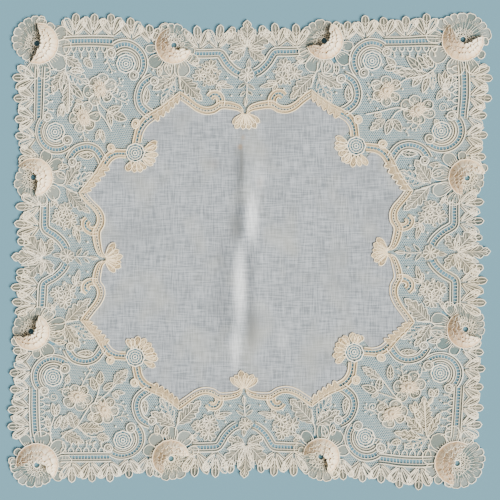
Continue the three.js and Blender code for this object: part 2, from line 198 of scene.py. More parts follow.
def mesh_of(name, places, faces):
    """A mesh of places in millimetres, as they lie."""
    made = bpy.data.meshes.new(name)
    made.from_pydata((places * MM).tolist(), [], faces)
    return made


def linen_mesh():
    rim = as_it_lies(beside(linen_line(), LINEN_TUCK, closed=True))
    across = np.arange(-LINEN_REACH, LINEN_REACH, LINEN_GRID)
    grid = np.stack(np.meshgrid(across, across), axis=-1).reshape(-1, 2)
    inner = as_it_lies(beside(linen_line(), -RIM_ROOM, closed=True))
    grid = grid[inside(grid, inner)]
    flat = np.concatenate((rim, grid))
    verts, _, faces, *_ = geometry.delaunay_2d_cdt(flat.tolist(), [], [list(range(len(rim)))], 1, 1e-4)
    flat = np.array([tuple(v) for v in verts])
    lift = LINEN_HEIGHT + linen_lift(flat[:, 0], flat[:, 1])
    return mesh_of("linen_centre_sheet", np.column_stack((flat, lift)), [list(face) for face in faces])


def inside(points, outline):
    """Which points lie inside a closed outline, by counting the crossings of a line to the right."""
    within = np.zeros(len(points), dtype=bool)
    for (ax, ay), (bx, by) in zip(outline, np.roll(outline, -1, axis=0)):
        if ay != by:
            crosses = (points[:, 1] < ay) != (points[:, 1] < by)
            reach = ax + (points[:, 1] - ay) * (bx - ax) / (by - ay)
            within ^= crosses & (points[:, 0] < reach)
    return within


def dyed(red, green, blue):
    """A colour given as a dyer's card gives it, 0 to 255, for a shader."""
    return [((c / 255 + 0.055) / 1.055) ** 2.4 for c in (red, green, blue)] + [1]


def added(tree, kind, inputs=None, **settings):
    """A new shader node with its settings made and its inputs set or linked."""
    made = tree.nodes.new(kind)
    for key, value in settings.items():
        setattr(made, key, value)
    for key, value in (inputs or {}).items():
        if isinstance(value, bpy.types.NodeSocket):
            tree.links.new(value, made.inputs[key])
        else:
            made.inputs[key].default_value = value
    return made


def blended(tree, share, first, second):
    """A colour that goes from the first to the second as the share goes from 0 to 1."""
    return added(tree, "ShaderNodeMix", {0: share, 6: first, 7: second}, data_type="RGBA").outputs[2]


def reckoned(tree, operation, first, second, **settings):
    return added(tree, "ShaderNodeMath", {0: first, 1: second}, operation=operation, **settings).outputs[0]


def noise_at(tree, scales, detail=2.0, seed=0.0):
    """Noise over the piece, with a scale per metre for each axis."""
    place = added(tree, "ShaderNodeTexCoord").outputs["Object"]
    moved = {"Vector": place, "Location": (seed, seed, 0), "Scale": scales}
    mapped = added(tree, "ShaderNodeMapping", moved).outputs[0]
    return added(tree, "ShaderNodeTexNoise", {"Vector": mapped, "Scale": 1, "Detail": detail}).outputs["Fac"]


def ranged(tree, value, low, high, start=0.3, end=0.7, **settings):
    """A value that goes from low to high while the one it follows goes from start to end."""
    inputs = {"Value": value, "From Min": start, "From Max": end, "To Min": low, "To Max": high}
    return added(tree, "ShaderNodeMapRange", inputs, **settings).outputs[0]


def new_finish(name):
    """A new material, with its nodes and its shader."""
    material = bpy.data.materials.new(name)
    material.use_nodes = True
    return material, material.node_tree, material.node_tree.nodes["Principled BSDF"]


def surfaced(tree, shader, colour, roughness, height, alpha, strength):
    """The parts of a finish that linen and lace share."""
    tree.links.new(colour, shader.inputs["Base Color"])
    tree.links.new(roughness, shader.inputs["Roughness"])
    bump = added(tree, "ShaderNodeBump", {"Height": height, "Distance": THREAD_RELIEF, "Strength": strength})
    tree.links.new(bump.outputs[0], shader.inputs["Normal"])
    shader.inputs["Alpha"].default_value = alpha
    shader.inputs["Specular IOR Level"].default_value = THREAD_GLOSS


THREAD_RELIEF = 0.00012
THREAD_GLOSS = 0.2
# Threads a metre along and across a slub
SLUBS = (1150, 90)
SLUB_RANGE = (0.78, 1.22)
CAMBRIC = [dyed(124, 131, 137), dyed(178, 184, 190)]
CREAMY = dyed(176, 177, 168)
THIN = dyed(134, 139, 143)
FOXED = dyed(160, 132, 98)
# Painted highlight for the lit banks of the fold, and painted shade for its shaded banks
FOLD_HIGHLIGHT = dyed(234, 238, 241)
FOLD_SHADE = dyed(112, 112, 106)
# Painted highlights and painted shade on the banks of the ironed fold, and a few brown stains.
# Columns: x, y, half the width, half the length, strength, colour
FOLD_SHADING_AND_STAINS = [
    (-4.6, 66, 2.2, 26, 0.5, FOLD_SHADE), (-9, 17, 8, 15, 0.45, FOLD_SHADE), (3.6, -55, 8, 20, 0.4, FOLD_SHADE),
    (-8, 69, 3.4, 6, 0.3, FOLD_SHADE), (3.2, 23, 7, 25, 0.66, FOLD_HIGHLIGHT), (8.4, 52, 7, 19, 0.34, FOLD_HIGHLIGHT),
    (-5.6, -24, 7.5, 38, 0.62, FOLD_HIGHLIGHT), (-9, -70, 6, 22, 0.52, FOLD_HIGHLIGHT), (24, -62, 8, 14, 0.24, FOLD_HIGHLIGHT),
    (-5.7, 72.3, 2.6, 3.2, 0.75, FOXED), (-3.5, 79, 2.4, 3, 0.4, FOXED), (8, 48, 4, 6, 0.14, FOXED),
    (-24, 61, 6, 6, 0.12, FOXED),
]


def cambric():
    """Plain weave with slubs both ways, creamy and thin patches, painted fold light and shade, and stains."""
    material, tree, shader = new_finish("sheer_cambric")
    warp = noise_at(tree, (*SLUBS, 1), seed=3.1)
    weft = noise_at(tree, (*SLUBS[::-1], 1), seed=7.7)
    slubs = reckoned(tree, "ADD", warp, weft)
    cloth = blended(tree, ranged(tree, slubs, 0, 1, *SLUB_RANGE), *CAMBRIC)
    for scales, seed, most, colour in (((34, 26, 1), 1.3, 0.55, CREAMY), ((24, 38, 1), 9.2, 0.45, THIN)):
        patches = ranged(tree, noise_at(tree, scales, seed=seed), 0, most, 0.5, 0.72)
        cloth = blended(tree, patches, cloth, colour)
    place = added(tree, "ShaderNodeTexCoord").outputs["Object"]
    streaks = ranged(tree, slubs, 0.6, 1.25, *SLUB_RANGE)
    # The marks blend painted highlight, painted shade and stains into the cloth, streaked by the slubs
    for x, y, width, length, strength, colour in FOLD_SHADING_AND_STAINS:
        moved = (-x / width, -y / length, 0)
        scales = (1 / MM / width, 1 / MM / length, 0)
        around = added(tree, "ShaderNodeMapping", {"Vector": place, "Location": moved, "Scale": scales})
        apart = added(tree, "ShaderNodeVectorMath", {0: around.outputs[0]}, operation="LENGTH")
        mark = ranged(tree, apart.outputs["Value"], strength, 0, 0.1, 1, interpolation_type="SMOOTHSTEP")
        cloth = blended(tree, reckoned(tree, "MULTIPLY", mark, streaks), cloth, colour)
    weave = {"Vector": place, "Scale": 450, "Distortion": 1.5, "Detail": 1}
    waves = [added(tree, "ShaderNodeTexWave", weave, bands_direction=way) for way in ("X", "Y")]
    threads = reckoned(tree, "MAXIMUM", *[wave.outputs["Fac"] for wave in waves])
    relief = reckoned(tree, "ADD", slubs, threads)
    surfaced(tree, shader, cloth, ranged(tree, slubs, 0.72, 0.9, 0.7, 1.3), relief, alpha=0.86, strength=0.7)
    shader.inputs["Sheen Weight"].default_value = 0.15
    return material


def placed(name, data):
    """A new object in the scene."""
    made = bpy.data.objects.new(name, data)
    bpy.context.collection.objects.link(made)
    return made


def piece(name, mesh, material, slot, *nodes):
    """A finished piece that rides on the one body, smooth all over, in place of its nodes."""
    mesh.materials.append(material)
    mesh.shade_smooth()
    made = placed(name, mesh)
    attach(made, "root")
    if nodes:
        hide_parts(*nodes)
    return made


linen = piece("linen_centre_sheet", linen_mesh(), cambric(), "linen", "linen_centre")

# Worked motifs: every leaf, petal and band is a filling of close cloth stitch, a little domed, with a
# thicker cord couched round it. The fillings are one sheet here, and the cords are joined by groups.
FILLING_HEIGHT = 0.62
FILLING_RISE = 0.15
# Columns: size of each ring of a round filling, its share of the rise
ROUND_RINGS = [(1, 0), (0.7, 0.6), (0.35, 0.9)]
CORD_HEIGHT = 1.2
CORD_FLATTENED = 0.9
THICK_CORD = 0.3
OUTLINE = 0.34
VEIN = 0.21
BAR = 0.19
BARE_WIDTH = 2.4
hands = np.random.default_rng(31)


class Gathered:
    """Many small pieces of one finish, gathered in the even layout, then joined in one mesh."""

    def __init__(self):
        self.places, self.faces, self.tones, self.finishes, self.count = [], [], [], [], 0

    def add(self, places, faces, tone, finish=0):
        self.places.append(places)
        self.faces.extend([[corner + self.count for corner in face] for face in faces])
        self.finishes.extend([finish] * len(faces))
        self.tones.append(np.broadcast_to(tone, len(places)))
        self.count += len(places)

    def take(self, other, finish):
        self.add(np.concatenate(other.places), other.faces, np.concatenate(other.tones), finish)

    def mesh(self, name):
        places = np.concatenate(self.places)
        return self.toned(name, np.column_stack((as_it_lies(places[:, :2]), places[:, 2])))

    def toned(self, name, lying):
        made = mesh_of(name, lying, self.faces)
        made.polygons.foreach_set("material_index", self.finishes)
        made.attributes.new("tone", "FLOAT", "POINT").data.foreach_set("value", np.concatenate(self.tones))
        return made


def lattice(rows, columns, round_rows=False, round_columns=False):
    """The four-cornered faces of a grid of places given row by row."""
    row = np.arange(rows if round_rows else rows - 1)[:, None]
    column = np.arange(columns if round_columns else columns - 1)[None, :]
    after, beyond = (row + 1) % rows, (column + 1) % columns
    ways = ((row, column), (row, beyond), (after, beyond), (after, column))
    return np.stack([line * columns + at for line, at in ways], axis=-1).reshape(-1, 4).tolist()


def rim_of(left, right, step=1):
    """The closed outline of two lines that meet at both ends."""
    return np.concatenate((left[:-1:step], right[:0:-step]))


def ring(x, y, radius, step=20, end=360):
    """Places round a point, that many degrees apart."""
    return drawn_at(x, y, np.arange(0, end, step), radius)


def lay_cord(work, line, radius=OUTLINE, height=CORD_HEIGHT, closed=False, tone=None):
    """A round cord couched along a line. Radius, height and tone may change along it."""
    count = len(line)
    thick = np.broadcast_to(radius, count).astype(float)
    around = 5 if thick.max() >= THICK_CORD else 4
    sides = np.arange(around) * 2 * np.pi / around + np.pi / 2
    if not closed:
        thick[[0, -1]] *= 0.5
    out = thick[:, None] * np.cos(sides)
    flat = np.stack([beside(line, out[:, side:side + 1], closed) for side in range(around)], axis=1)
    lift = np.reshape(height, (-1, 1)) + thick[:, None] * np.sin(sides) * CORD_FLATTENED
    places = np.concatenate((flat, lift[:, :, None]), axis=2).reshape(-1, 3)
    faces = lattice(count, around, closed, True)
    if not closed:
        faces.append(list(range(around))[::-1])
        faces.append(list(range((count - 1) * around, count * around)))
    tone = hands.uniform(0.35, 1) if tone is None else tone
    work.add(places, faces, np.repeat(np.broadcast_to(tone, count), around))


def fill_between(work, left, right, height=FILLING_HEIGHT, rise=FILLING_RISE, columns=4, tone=None):
    """Cloth stitch between two lines of equally many places, a little domed across."""
    share = np.linspace(0, 1, columns + 1)
    flat = left[:, None] * (1 - share)[None, :, None] + right[:, None] * share[None, :, None]
    lift = np.broadcast_to(height + rise * np.sin(np.pi * share), flat.shape[:2])
    faces = lattice(len(left), columns + 1)
    middle = len(left) // 2
    ahead = left[min(middle + 1, len(left) - 1)] - left[middle - 1]
    across = right[middle] - left[middle]
    if ahead[0] * across[1] - ahead[1] * across[0] > 0:
        faces = [face[::-1] for face in faces]
    places = np.concatenate((flat, lift[:, :, None]), axis=2).reshape(-1, 3)
    work.add(places, faces, hands.uniform(0, 1) if tone is None else tone)
    worked_over.append(np.concatenate((left, right[::-1])))


def fill_round(work, outline, height=FILLING_HEIGHT, rise=FILLING_RISE, tone=None):
    """Cloth stitch inside a closed outline, domed towards its middle."""
    middle = outline.mean(axis=0)
    if twice_area(outline) < 0:
        outline = outline[::-1]
    count = len(outline)
    flat = np.concatenate([middle + (outline - middle) * size for size, _ in ROUND_RINGS] + [middle[None]])
    lift = np.concatenate([np.full(count, height + rise * up) for _, up in ROUND_RINGS] + [[height + rise]])
    faces = [face[::-1] for face in lattice(len(ROUND_RINGS), count, False, True)]
    last = (len(ROUND_RINGS) - 1) * count
    faces += [[last + corner, last + (corner + 1) % count, last + count] for corner in range(count)]
    work.add(np.column_stack((flat, lift)), faces, hands.uniform(0, 1) if tone is None else tone)
    worked_over.append(outline)


worked_over = []


def leaf_sides(x, y, heading, length, width, full=0.42, point=0.8, bend=0.0, teeth=0):
    """Both sides of a leaf from stalk to tip, and its midrib, as lines of equally many places."""
    along = np.linspace(0, 1, 4 * teeth + 1 if teeth else 11)
    half = width / 2 * np.sin(np.pi * along ** (math.log(0.5) / math.log(full))) ** point
    ahead = np.zeros_like(along)
    if teeth:
        tooth = np.abs(np.sin(teeth * np.pi * along))
        half = half * (0.66 + 0.44 * tooth)
        ahead = 0.4 / teeth * tooth * (1 - along)
    curl = bend * length * along ** 2
    forward = [(along + abs(side) * ahead) * length for side in (1, 0, -1)]
    return [drawn_at(x, y, heading, way, curl + side * half) for way, side in zip(forward, (1, 0, -1))]


def worked_leaf(cords, place, x, y, heading, length, width, veins=3, ribs=0, open_work=False, **shape):
    """One leaf: cloth stitch or open bars in a corded outline, with a midrib and side veins or long ribs."""
    left, middle, right = [place(line) for line in leaf_sides(x, y, heading, length, width, **shape)]
    outline = rim_of(left, right)
    last = len(middle) - 1
    teeth = shape.get("teeth", 0)
    fine = min(1, 0.5 + width / 9)
    away = np.sqrt(np.concatenate((np.arange(last), np.arange(last, 0, -1))) / last)
    lay_cord(cords, outline, OUTLINE * fine * (0.5 + 0.55 * away), closed=True)
    if width > BARE_WIDTH:
        lay_cord(cords, middle[:round(last * 0.88) + 1], (VEIN + 0.03) * fine, CORD_HEIGHT + 0.1)
    if open_work:
        worked_over.append(outline)
        for step in range(2, last - 1):
            lay_cord(cords, np.stack((left[step], right[step])), BAR, CORD_HEIGHT - 0.1)
    else:
        fill_between(fillings, left, right, tone=hands.uniform(0.5, 1) if teeth else None)
    for share in np.linspace(-1, 1, ribs + 2)[1:-1]:
        side = left if share < 0 else right
        spread = abs(share) * 1.3
        lay_cord(cords, (middle + (side - middle) * spread)[2:round(last * 0.86) + 1], VEIN, CORD_HEIGHT)
    count = 2 * teeth if teeth and not open_work else teeth or veins
    for vein in range(count):
        start = round((vein + 0.2) / count * last * (0.86 if teeth else 0.6))
        end = round((vein + 1) / count * last) if teeth else start + round(0.22 * last)
        end = min(max(end, start + 1), last - 1)
        for side in (left, right):
            bent = middle[start] * 0.5 + side[end] * 0.5 + (middle[end] - middle[start]) * 0.12
            lay_cord(cords, np.stack((middle[start], bent, side[end])), VEIN - 0.02, CORD_HEIGHT)


def looped(cords, cloth, place, sides, thick, over=CORD_HEIGHT, step=1, cord_tone=None, **filling):
    """A petal or loop with a cord all round it, filled where it has cloth. Gives its lines as placed."""
    left, middle, right = [place(line) for line in sides]
    if cloth:
        fill_between(cloth, left, right, **filling)
    lay_cord(cords, rim_of(left, right, step), thick, over, closed=True, tone=cord_tone)
    return left, middle, right


def stem(cords, place, corners, radius=VEIN + 0.08):
    lay_cord(cords, place(eased(corners, step=1.2)), radius, CORD_HEIGHT)


def knot(cords, place, x, y, radius=0.8):
    """A small raised dot of close stitches."""
    fill_round(cords, place(ring(x, y, radius, 45)), *KNOT_RELIEF, tone=1.0)


def arc_of(x, y, radius, start, end, steps=24):
    return drawn_at(x, y, np.linspace(start, end, steps), radius)


KNOT_RELIEF = (0.8, 0.9)
fillings = Gathered()
gauze = Gathered()

# Leaf edge: sprigs stand side by side all round, each with a blunt leaf between two ribbed ones. Two
# narrow bars spread from each foot and meet the next sprig's over a small triangle of net, and a fan
# of broad toothed leaves marks each side's middle.
EDGE_AT_MIDDLE = 158.5
EDGE_RISE_TO_CORNER = 4.5
CORNER_ROSE = 146
# Columns: place along the side, height of the rail there
EDGE_SPRIGS = [(20.8, 142), (34.2, 142), (67.5, 145.5), (80.9, 146), (94.3, 147), (107.7, 147), (121.1, 147)]
SPRIG_PITCH = 13.4
TRIANGLE_HEIGHT = 5
FAN_KNOT = (0, 139.5)
# Columns: heading, length, width, teeth, open
FAN_LEAVES = [
    (38, 20, 10, 4, False), (-30, 13, 7.4, 3, False), (66, 14, 3.6, 0, True), (4, 12, 3.6, 0, False),
]
SPRIG_LEAF = {"full": 0.66, "point": 0.5}
RIBBED_LEAF = {"veins": 0, "ribs": 3, "full": 0.66, "point": 0.45}
edge_cords = Gathered()


def edge_height(x):
    return EDGE_AT_MIDDLE + EDGE_RISE_TO_CORNER * (x / CORNER_ROSE) ** 2


def narrow_bar(place, start, end, width=1.3):
    """Two cords side by side with close stitch between them."""
    line = np.linspace(start, end, 5)
    sides = [place(beside(line, across)) for across in (width / 2, -width / 2)]
    fill_between(fillings, *sides, columns=1, rise=0)
    for side in sides:
        lay_cord(edge_cords, side, VEIN + 0.04)


def edge_sprig(place, x, rail):
    """A blunt leaf, and on each side of it a ribbed leaf, a narrow bar and a small leaf at its end."""
    lean = 90 + hands.uniform(-8, 8)
    tall = (edge_height(x) - rail) * hands.uniform(0.97, 1.04)
    foot = drawn_at(x, rail, lean, tall * 0.24)
    worked_leaf(edge_cords, place, *foot, lean, tall * 0.78, 4.9, **SPRIG_LEAF)
    for way in (1, -1):
        airy = hands.uniform() < 0.3
        turn = lean + way * hands.uniform(27, 33)
        reach = tall * hands.uniform(0.8, 0.9)
        foot = drawn_at(x, rail, lean + way * 40, 1.3)
        worked_leaf(edge_cords, place, *foot, turn, reach, 5, open_work=airy, **RIBBED_LEAF)
        peak = (x - way * SPRIG_PITCH / 2, rail + TRIANGLE_HEIGHT * hands.uniform(0.9, 1.1))
        narrow_bar(place, (x - way * 0.9, rail + 0.2), peak)
        upper = drawn_at(*peak, 90 + way * 6, 1.2)
        worked_leaf(edge_cords, place, *upper, 90 + way * 8, tall * 0.36, 2.6, veins=2, full=0.6)


for place in HALF_SIDES:
    for x, rail in EDGE_SPRIGS:
        edge_sprig(place, x, rail)
    for heading, length, width, teeth, airy in FAN_LEAVES:
        turn = heading + hands.uniform(-3, 3)
        foot = drawn_at(*FAN_KNOT, turn, 1.2)
        worked_leaf(edge_cords, place, *foot, turn, length, width, teeth=teeth, open_work=airy)
    worked_leaf(edge_cords, place, 9.6, 148, 80, 8.5, 4.6, veins=2, **SPRIG_LEAF)
for place in WHOLE_SIDES:
    worked_leaf(edge_cords, place, 0, 141, 90 + hands.uniform(-4, 4), 19, 8.6, teeth=4, full=0.55)

# Ladder bands: a V between the roses of a side, a scroll with a leafy head, a straight band to each
# corner rose and an arc round each wheel. All are two strips of cloth stitch with rungs between them,
# and their ends are curled into round heads.
BAND_WIDTH = 6.4
RUNG_PITCH = 2.2
V_BAND = [
    (37, 138.4), (27, 138.3), (19.8, 138), (17, 135), (15, 131.6), (12, 128), (8.5, 125), (5.4, 123.4),
]
SCROLL = [
    (65.8, 121), (69.2, 119.4), (72.8, 116.3), (74.8, 111.2), (75, 106.8), (73.3, 102.3), (69.5, 98.8),
    (66, 96.6),
]
CORNER_BAND = [(93, 143.7), (107, 143.8), (129, 143.9)]
WHEEL = (85, 130.5)
WHEEL_ARC = (12.4, 50, 224)
WHEEL_COLLAR = (40, 205)
COLLAR_REACHES = (7.9, 9.3)
PICOTS = np.arange(94.5, 127, 5.3)
PICOT_ARCH = [(-1.9, 140.2), (-1.4, 138), (0, 136.8), (1.4, 138), (1.9, 140.2)]
CURL_RELIEF = (1.2, 0.35)
# Columns: x, y, radius
CURLS = [(79.3, 122.4, 3.3), (95, 136.8, 2.9), (64.6, 118.6, 2.9)]
band_cords = Gathered()


def run_of(line):
    """How far along the line each of its places is."""
    return np.concatenate(([0], np.cumsum(np.linalg.norm(np.diff(line, axis=0), axis=1))))


def ladder(cords, cloth, left, right, gap=0.47, pitch=RUNG_PITCH, rung=0.22, inner=VEIN):
    """Two strips of cloth stitch with a row of square holes between them, corded along all four edges."""
    lines = [left + (right - left) * share for share in (0, 0.5 - gap / 2, 0.5 + gap / 2, 1)]
    for line, radius in zip(lines, (OUTLINE + 0.05, inner, inner, OUTLINE + 0.05)):
        lay_cord(cords, line, radius)
    for strip in (lines[:2], lines[2:]):
        fill_between(cloth, *strip, columns=2)
    worked_over.append(np.concatenate((left, right[::-1])))
    length = run_of((left + right) / 2)
    for at in np.arange(pitch / 2, length[-1], pitch):
        ends = [[np.interp(at, length, line[:, axis]) for axis in (0, 1)] for line in lines[1:3]]
        lay_cord(cords, np.array(ends), rung, CORD_HEIGHT - 0.1, tone=1.0)


def ladder_along(cords, cloth, place, corners, width=BAND_WIDTH, **make):
    line = eased(corners, step=1.1)
    ladder(cords, cloth, place(beside(line, width / 2)), place(beside(line, -width / 2)), **make)


def curl_head(cords, cloth, place, x, y, radius):
    """The round end of a band, with a spiral on it."""
    head = place(arc_of(x, y, radius, 0, 337.5, 16))
    fill_round(cloth, head, *CURL_RELIEF, tone=0.9)
    lay_cord(cords, head, OUTLINE, 1.35, closed=True, tone=1.0)
    spiral = drawn_at(x, y, np.linspace(60, 460, 14), radius * np.linspace(0.66, 0.08, 14))
    lay_cord(cords, place(spiral), 0.26, 1.6, tone=1.0)


for place in HALF_SIDES:
    ladder_along(band_cords, fillings, place, V_BAND)
    ladder_along(band_cords, fillings, place, SCROLL, width=6)
    ladder_along(band_cords, fillings, place, CORNER_BAND)
    ladder_along(band_cords, fillings, place, arc_of(*WHEEL, *WHEEL_ARC, 14), width=5.8)
    collar = [place(arc_of(*WHEEL, reach, *WHEEL_COLLAR, 22)) for reach in COLLAR_REACHES]
    fill_between(fillings, *collar, columns=2)
    for line in collar:
        lay_cord(band_cords, line, VEIN + 0.06)
    for curl in CURLS:
        curl_head(band_cords, fillings, place, *curl)
    worked_leaf(band_cords, place, 70.5, 103, 104, 11, 4.4, bend=-0.12)
    for x in PICOTS:
        arch = [(x + across, y) for across, y in PICOT_ARCH]
        stem(band_cords, place, arch, 0.36)
        tip = (x + hands.uniform(-0.6, 0.6), hands.uniform(133.2, 134.6))
        stem(band_cords, place, [arch[2], tip], 0.4)
        knot(band_cords, place, *tip, 0.85)

# Wheels: rings of thread over spokes, open between, one by each corner band and one at each corner of
# the linen, each sewn in by its outer ring.
WHEEL_RADIUS = 6.2
# Columns: share of the radius, thickness
WHEEL_RINGS = [(0.18, 0.36), (0.44, 0.27), (0.72, 0.29), (1, 0.44)]
# Columns: share of the radius where spokes start and end, degrees between them, turn of the first
SPOKES = [(0.44, 0.72, 30, 0), (0.72, 1, 30, 15), (0.1, 0.44, 60, 0)]
wheel_cords = Gathered()


def worked_wheel(place, x, y):
    """Rings of thread, the outer one wavy, on spokes whose number grows outward."""
    turn = np.arange(0, 360, 11.25)
    for share, thick in WHEEL_RINGS:
        wavy = 1 + 0.035 * np.cos(np.radians(turn * 8)) if share == 1 else 1
        line = drawn_at(x, y, turn, WHEEL_RADIUS * share * wavy)
        lay_cord(wheel_cords, place(line), thick, closed=True, tone=1)
    for start, end, apart, first in SPOKES:
        reach = np.array((start, end)) * WHEEL_RADIUS
        for way in np.arange(first, 360, apart):
            lay_cord(wheel_cords, place(drawn_at(x, y, way, reach)), BAR, tone=0.7)
    worked_over.append(place(ring(x, y, WHEEL_RADIUS)))


for place in HALF_SIDES:
    worked_wheel(place, *WHEEL)
for place in WHOLE_SIDES:
    worked_wheel(place, CORNER_WHEEL, CORNER_WHEEL)

# Frame: the lace's inner rim, whipped to the linen and yellowed. A dotted band runs from a shell at the
# middle of each side to a notch, with a hook on the way, then goes on as a toothed leaf that laps over
# the linen, and as a short ladder.
BAND_OUTER = [
    (1.2, 97.6), (3.6, 101.2), (9, 103.4), (14, 104.2), (18.5, 104), (24, 100.9), (29, 100.4), (34, 102.2),
    (38.5, 105.2), (43, 108.6), (46.5, 110.8),
]
BAND_INNER = [
    (0.6, 93.6), (4, 97.2), (9.8, 98.6), (17, 99), (22, 96.2), (28.5, 95.4), (35, 97.4), (40.5, 101),
    (46.5, 105.1),
]
BAND_PLACES = 58
FRAME_LADDER_PLACES = 24
DOTTED = {"gap": 0.26, "pitch": 2.2, "rung": 0.46, "inner": 0.2}
FRAME_LEAF_OUTER = [(46.5, 110.8), (50.5, 107.6), (54, 105), (59, 101.4), (66, 98)]
FRAME_LEAF_INNER = [(46.5, 105), (51.5, 100.8), (57, 96.4), (63, 92.6)]
LEAF_PLACES = 33
LEAF_TEETH = 5
LEAF_TIPS = (3, 10, 16, 22, 29)
TOOTH_DEPTH = 0.52
TOOTH_OVER = 0.3
LEAF_RELIEF = (0.95, 0.35)
LEAF_CORD_HEIGHT = 1.42
FRAME_LADDER_OUTER = [(65, 98.4), (70.5, 95.4), (74.4, 90), (75.4, 85), (76, 80)]
FRAME_LADDER_INNER = [(62, 93.6), (67, 90.4), (69.6, 86), (70.2, 80.6)]
HOOK = [(18.2, 101.5), (18, 105.6), (20.3, 108.8), (23.8, 109), (25.8, 106.8)]
FRAME_CURL = (75.4, 91.6, 2.7)
SHELL_PETAL = {"full": 0.66, "point": 0.6}
SHELL_OVER = 0.3
frame_cords = Gathered()
frame_fillings = Gathered()


def matched(line, count):
    """The line again, as that many places spaced evenly along it."""
    length = run_of(line)
    at = np.linspace(0, length[-1], count)
    return np.stack([np.interp(at, length, line[:, axis]) for axis in (0, 1)], axis=1)


def shell(place, x, y, heading, spread, petals, near, reach):
    """A fan of gathered petals, each with a loop and a vein inside."""
    step = 2 * spread / petals
    for turn in heading - spread + step * (np.arange(petals) + 0.5):
        width = 2 * reach * math.tan(math.radians(step / 2)) * hands.uniform(0.78, 1)
        turn = turn + hands.uniform(-4, 4)
        foot = drawn_at(x, y, turn, near)
        deep = (reach - near) * hands.uniform(0.86, 1.08)
        for size in (1, 0.6):
            sides = leaf_sides(*foot, turn, deep * (0.3 + 0.7 * size), width * size, **SHELL_PETAL)
            cloth = frame_fillings if size == 1 else None
            lines = looped(frame_cords, cloth, place, sides, OUTLINE * size, 1.3, rise=0.7)
        lay_cord(frame_cords, lines[1][:6], VEIN, 1.5)


for place in HALF_SIDES:
    edges = [place(matched(eased(line), BAND_PLACES)) for line in (BAND_OUTER, BAND_INNER)]
    ladder(frame_cords, frame_fillings, *edges, **DOTTED)
    outer, inner = [matched(eased(line), LEAF_PLACES) for line in (FRAME_LEAF_OUTER, FRAME_LEAF_INNER)]
    bite = (1 - np.abs(np.sin(np.linspace(0, LEAF_TEETH * np.pi, LEAF_PLACES))))[:, None]
    inner = inner + (outer - inner) * (TOOTH_DEPTH * bite - TOOTH_OVER)
    fill_between(frame_fillings, place(outer), place(inner), *LEAF_RELIEF, tone=hands.uniform(0.2, 0.6))
    for share, thick in ((0, OUTLINE), (0.3, VEIN), (1, OUTLINE)):
        lay_cord(frame_cords, place(outer + (inner - outer) * share), thick, LEAF_CORD_HEIGHT)
    for tooth in LEAF_TIPS:
        for spread, reach in ((-2, 0.8), (0, 0.92), (2, 0.8)):
            tip = outer[tooth] + (inner[tooth + spread] - outer[tooth]) * reach
            lay_cord(frame_cords, place(np.stack((outer[tooth - 3], tip))), VEIN, LEAF_CORD_HEIGHT)
    sides = [eased(line) for line in (FRAME_LADDER_OUTER, FRAME_LADDER_INNER)]
    edges = [place(matched(line, FRAME_LADDER_PLACES)) for line in sides]
    ladder(frame_cords, frame_fillings, *edges, gap=0.36)
    ladder_along(frame_cords, frame_fillings, place, HOOK, width=5.6, gap=0.34)
    curl_head(frame_cords, frame_fillings, place, *FRAME_CURL)
for place in WHOLE_SIDES:
    reach = CENTRE_SHELL["reach"] + SHELL_OVER
    shell(place, 0, CENTRE_SHELL_Y, -90, CENTRE_SHELL["spread"], CENTRE_SHELL["petals"], 1.5, reach)
    reach = CORNER_SHELL["reach"] + SHELL_OVER
    shell(place, CORNER_WHEEL, CORNER_WHEEL, 225, CORNER_SHELL["spread"] + 4, 9, 6.4, reach)

# Side sprays: from each rose a stalk bears toothed leaves by the notch. A cluster of looped florets and
# a leafy twig lie on the way to the blossom at the middle of the side. Cords are couched over all of it.
# Columns: x, y, heading, length, width, then teeth and whether it is open where it has them
SIDE_LEAVES = [
    (47.8, 122, 226, 24, 10.4, 5), (49.3, 122.5, 328, 19, 9, 4), (50, 119, 299, 19, 8, 5, True),
    (20.8, 116.2, 246, 6, 3.2), (20.8, 116.2, 192, 12, 3.4), (20.8, 116.2, 166, 7, 3),
    (39, 131.5, 200, 6, 2.6), (39, 131.5, 158, 6, 2.4), (57, 131, 250, 9, 4.6), (61, 129.5, 275, 8, 3.6),
]
# Columns: x, y, turn
FLORETS = [(25.6, 128.4, 12), (33, 122.6, 40), (24.6, 119.6, -10)]
FLORET_BUDS = [(30.4, 128.6), (28.6, 117), (28.6, 123.4), (20.6, 124.6)]
SIDE_KNOTS = [(19.6, 124), (14, 120.6), (25.8, 112), (10.4, 108.2), (35.5, 113.8), (62, 109), (66, 126)]
FLORET_EYE = 0.8
spray_cords = Gathered()


def listed_leaf(cords, place, leaf, veins):
    """A worked leaf from its row in a list."""
    *shape, teeth, airy = (*leaf, 0, False)[:7]
    worked_leaf(cords, place, *shape, veins=veins, teeth=teeth, open_work=airy)


def floret(place, x, y, turn, loops=8, reach=5.2, width=2.4):
    """Corded loops of close stitch round a dot."""
    for loop in range(loops):
        heading = turn + 360 / loops * loop + hands.uniform(-9, 9)
        foot = drawn_at(x, y, heading, FLORET_EYE)
        deep = (reach - FLORET_EYE) * hands.uniform(0.75, 1.15)
        sides = leaf_sides(*foot, heading, deep, width, full=0.62, point=0.6)
        looped(spray_cords, fillings, place, sides, OUTLINE - 0.08, step=2, columns=2, tone=1)
    knot(spray_cords, place, x, y, 0.9)


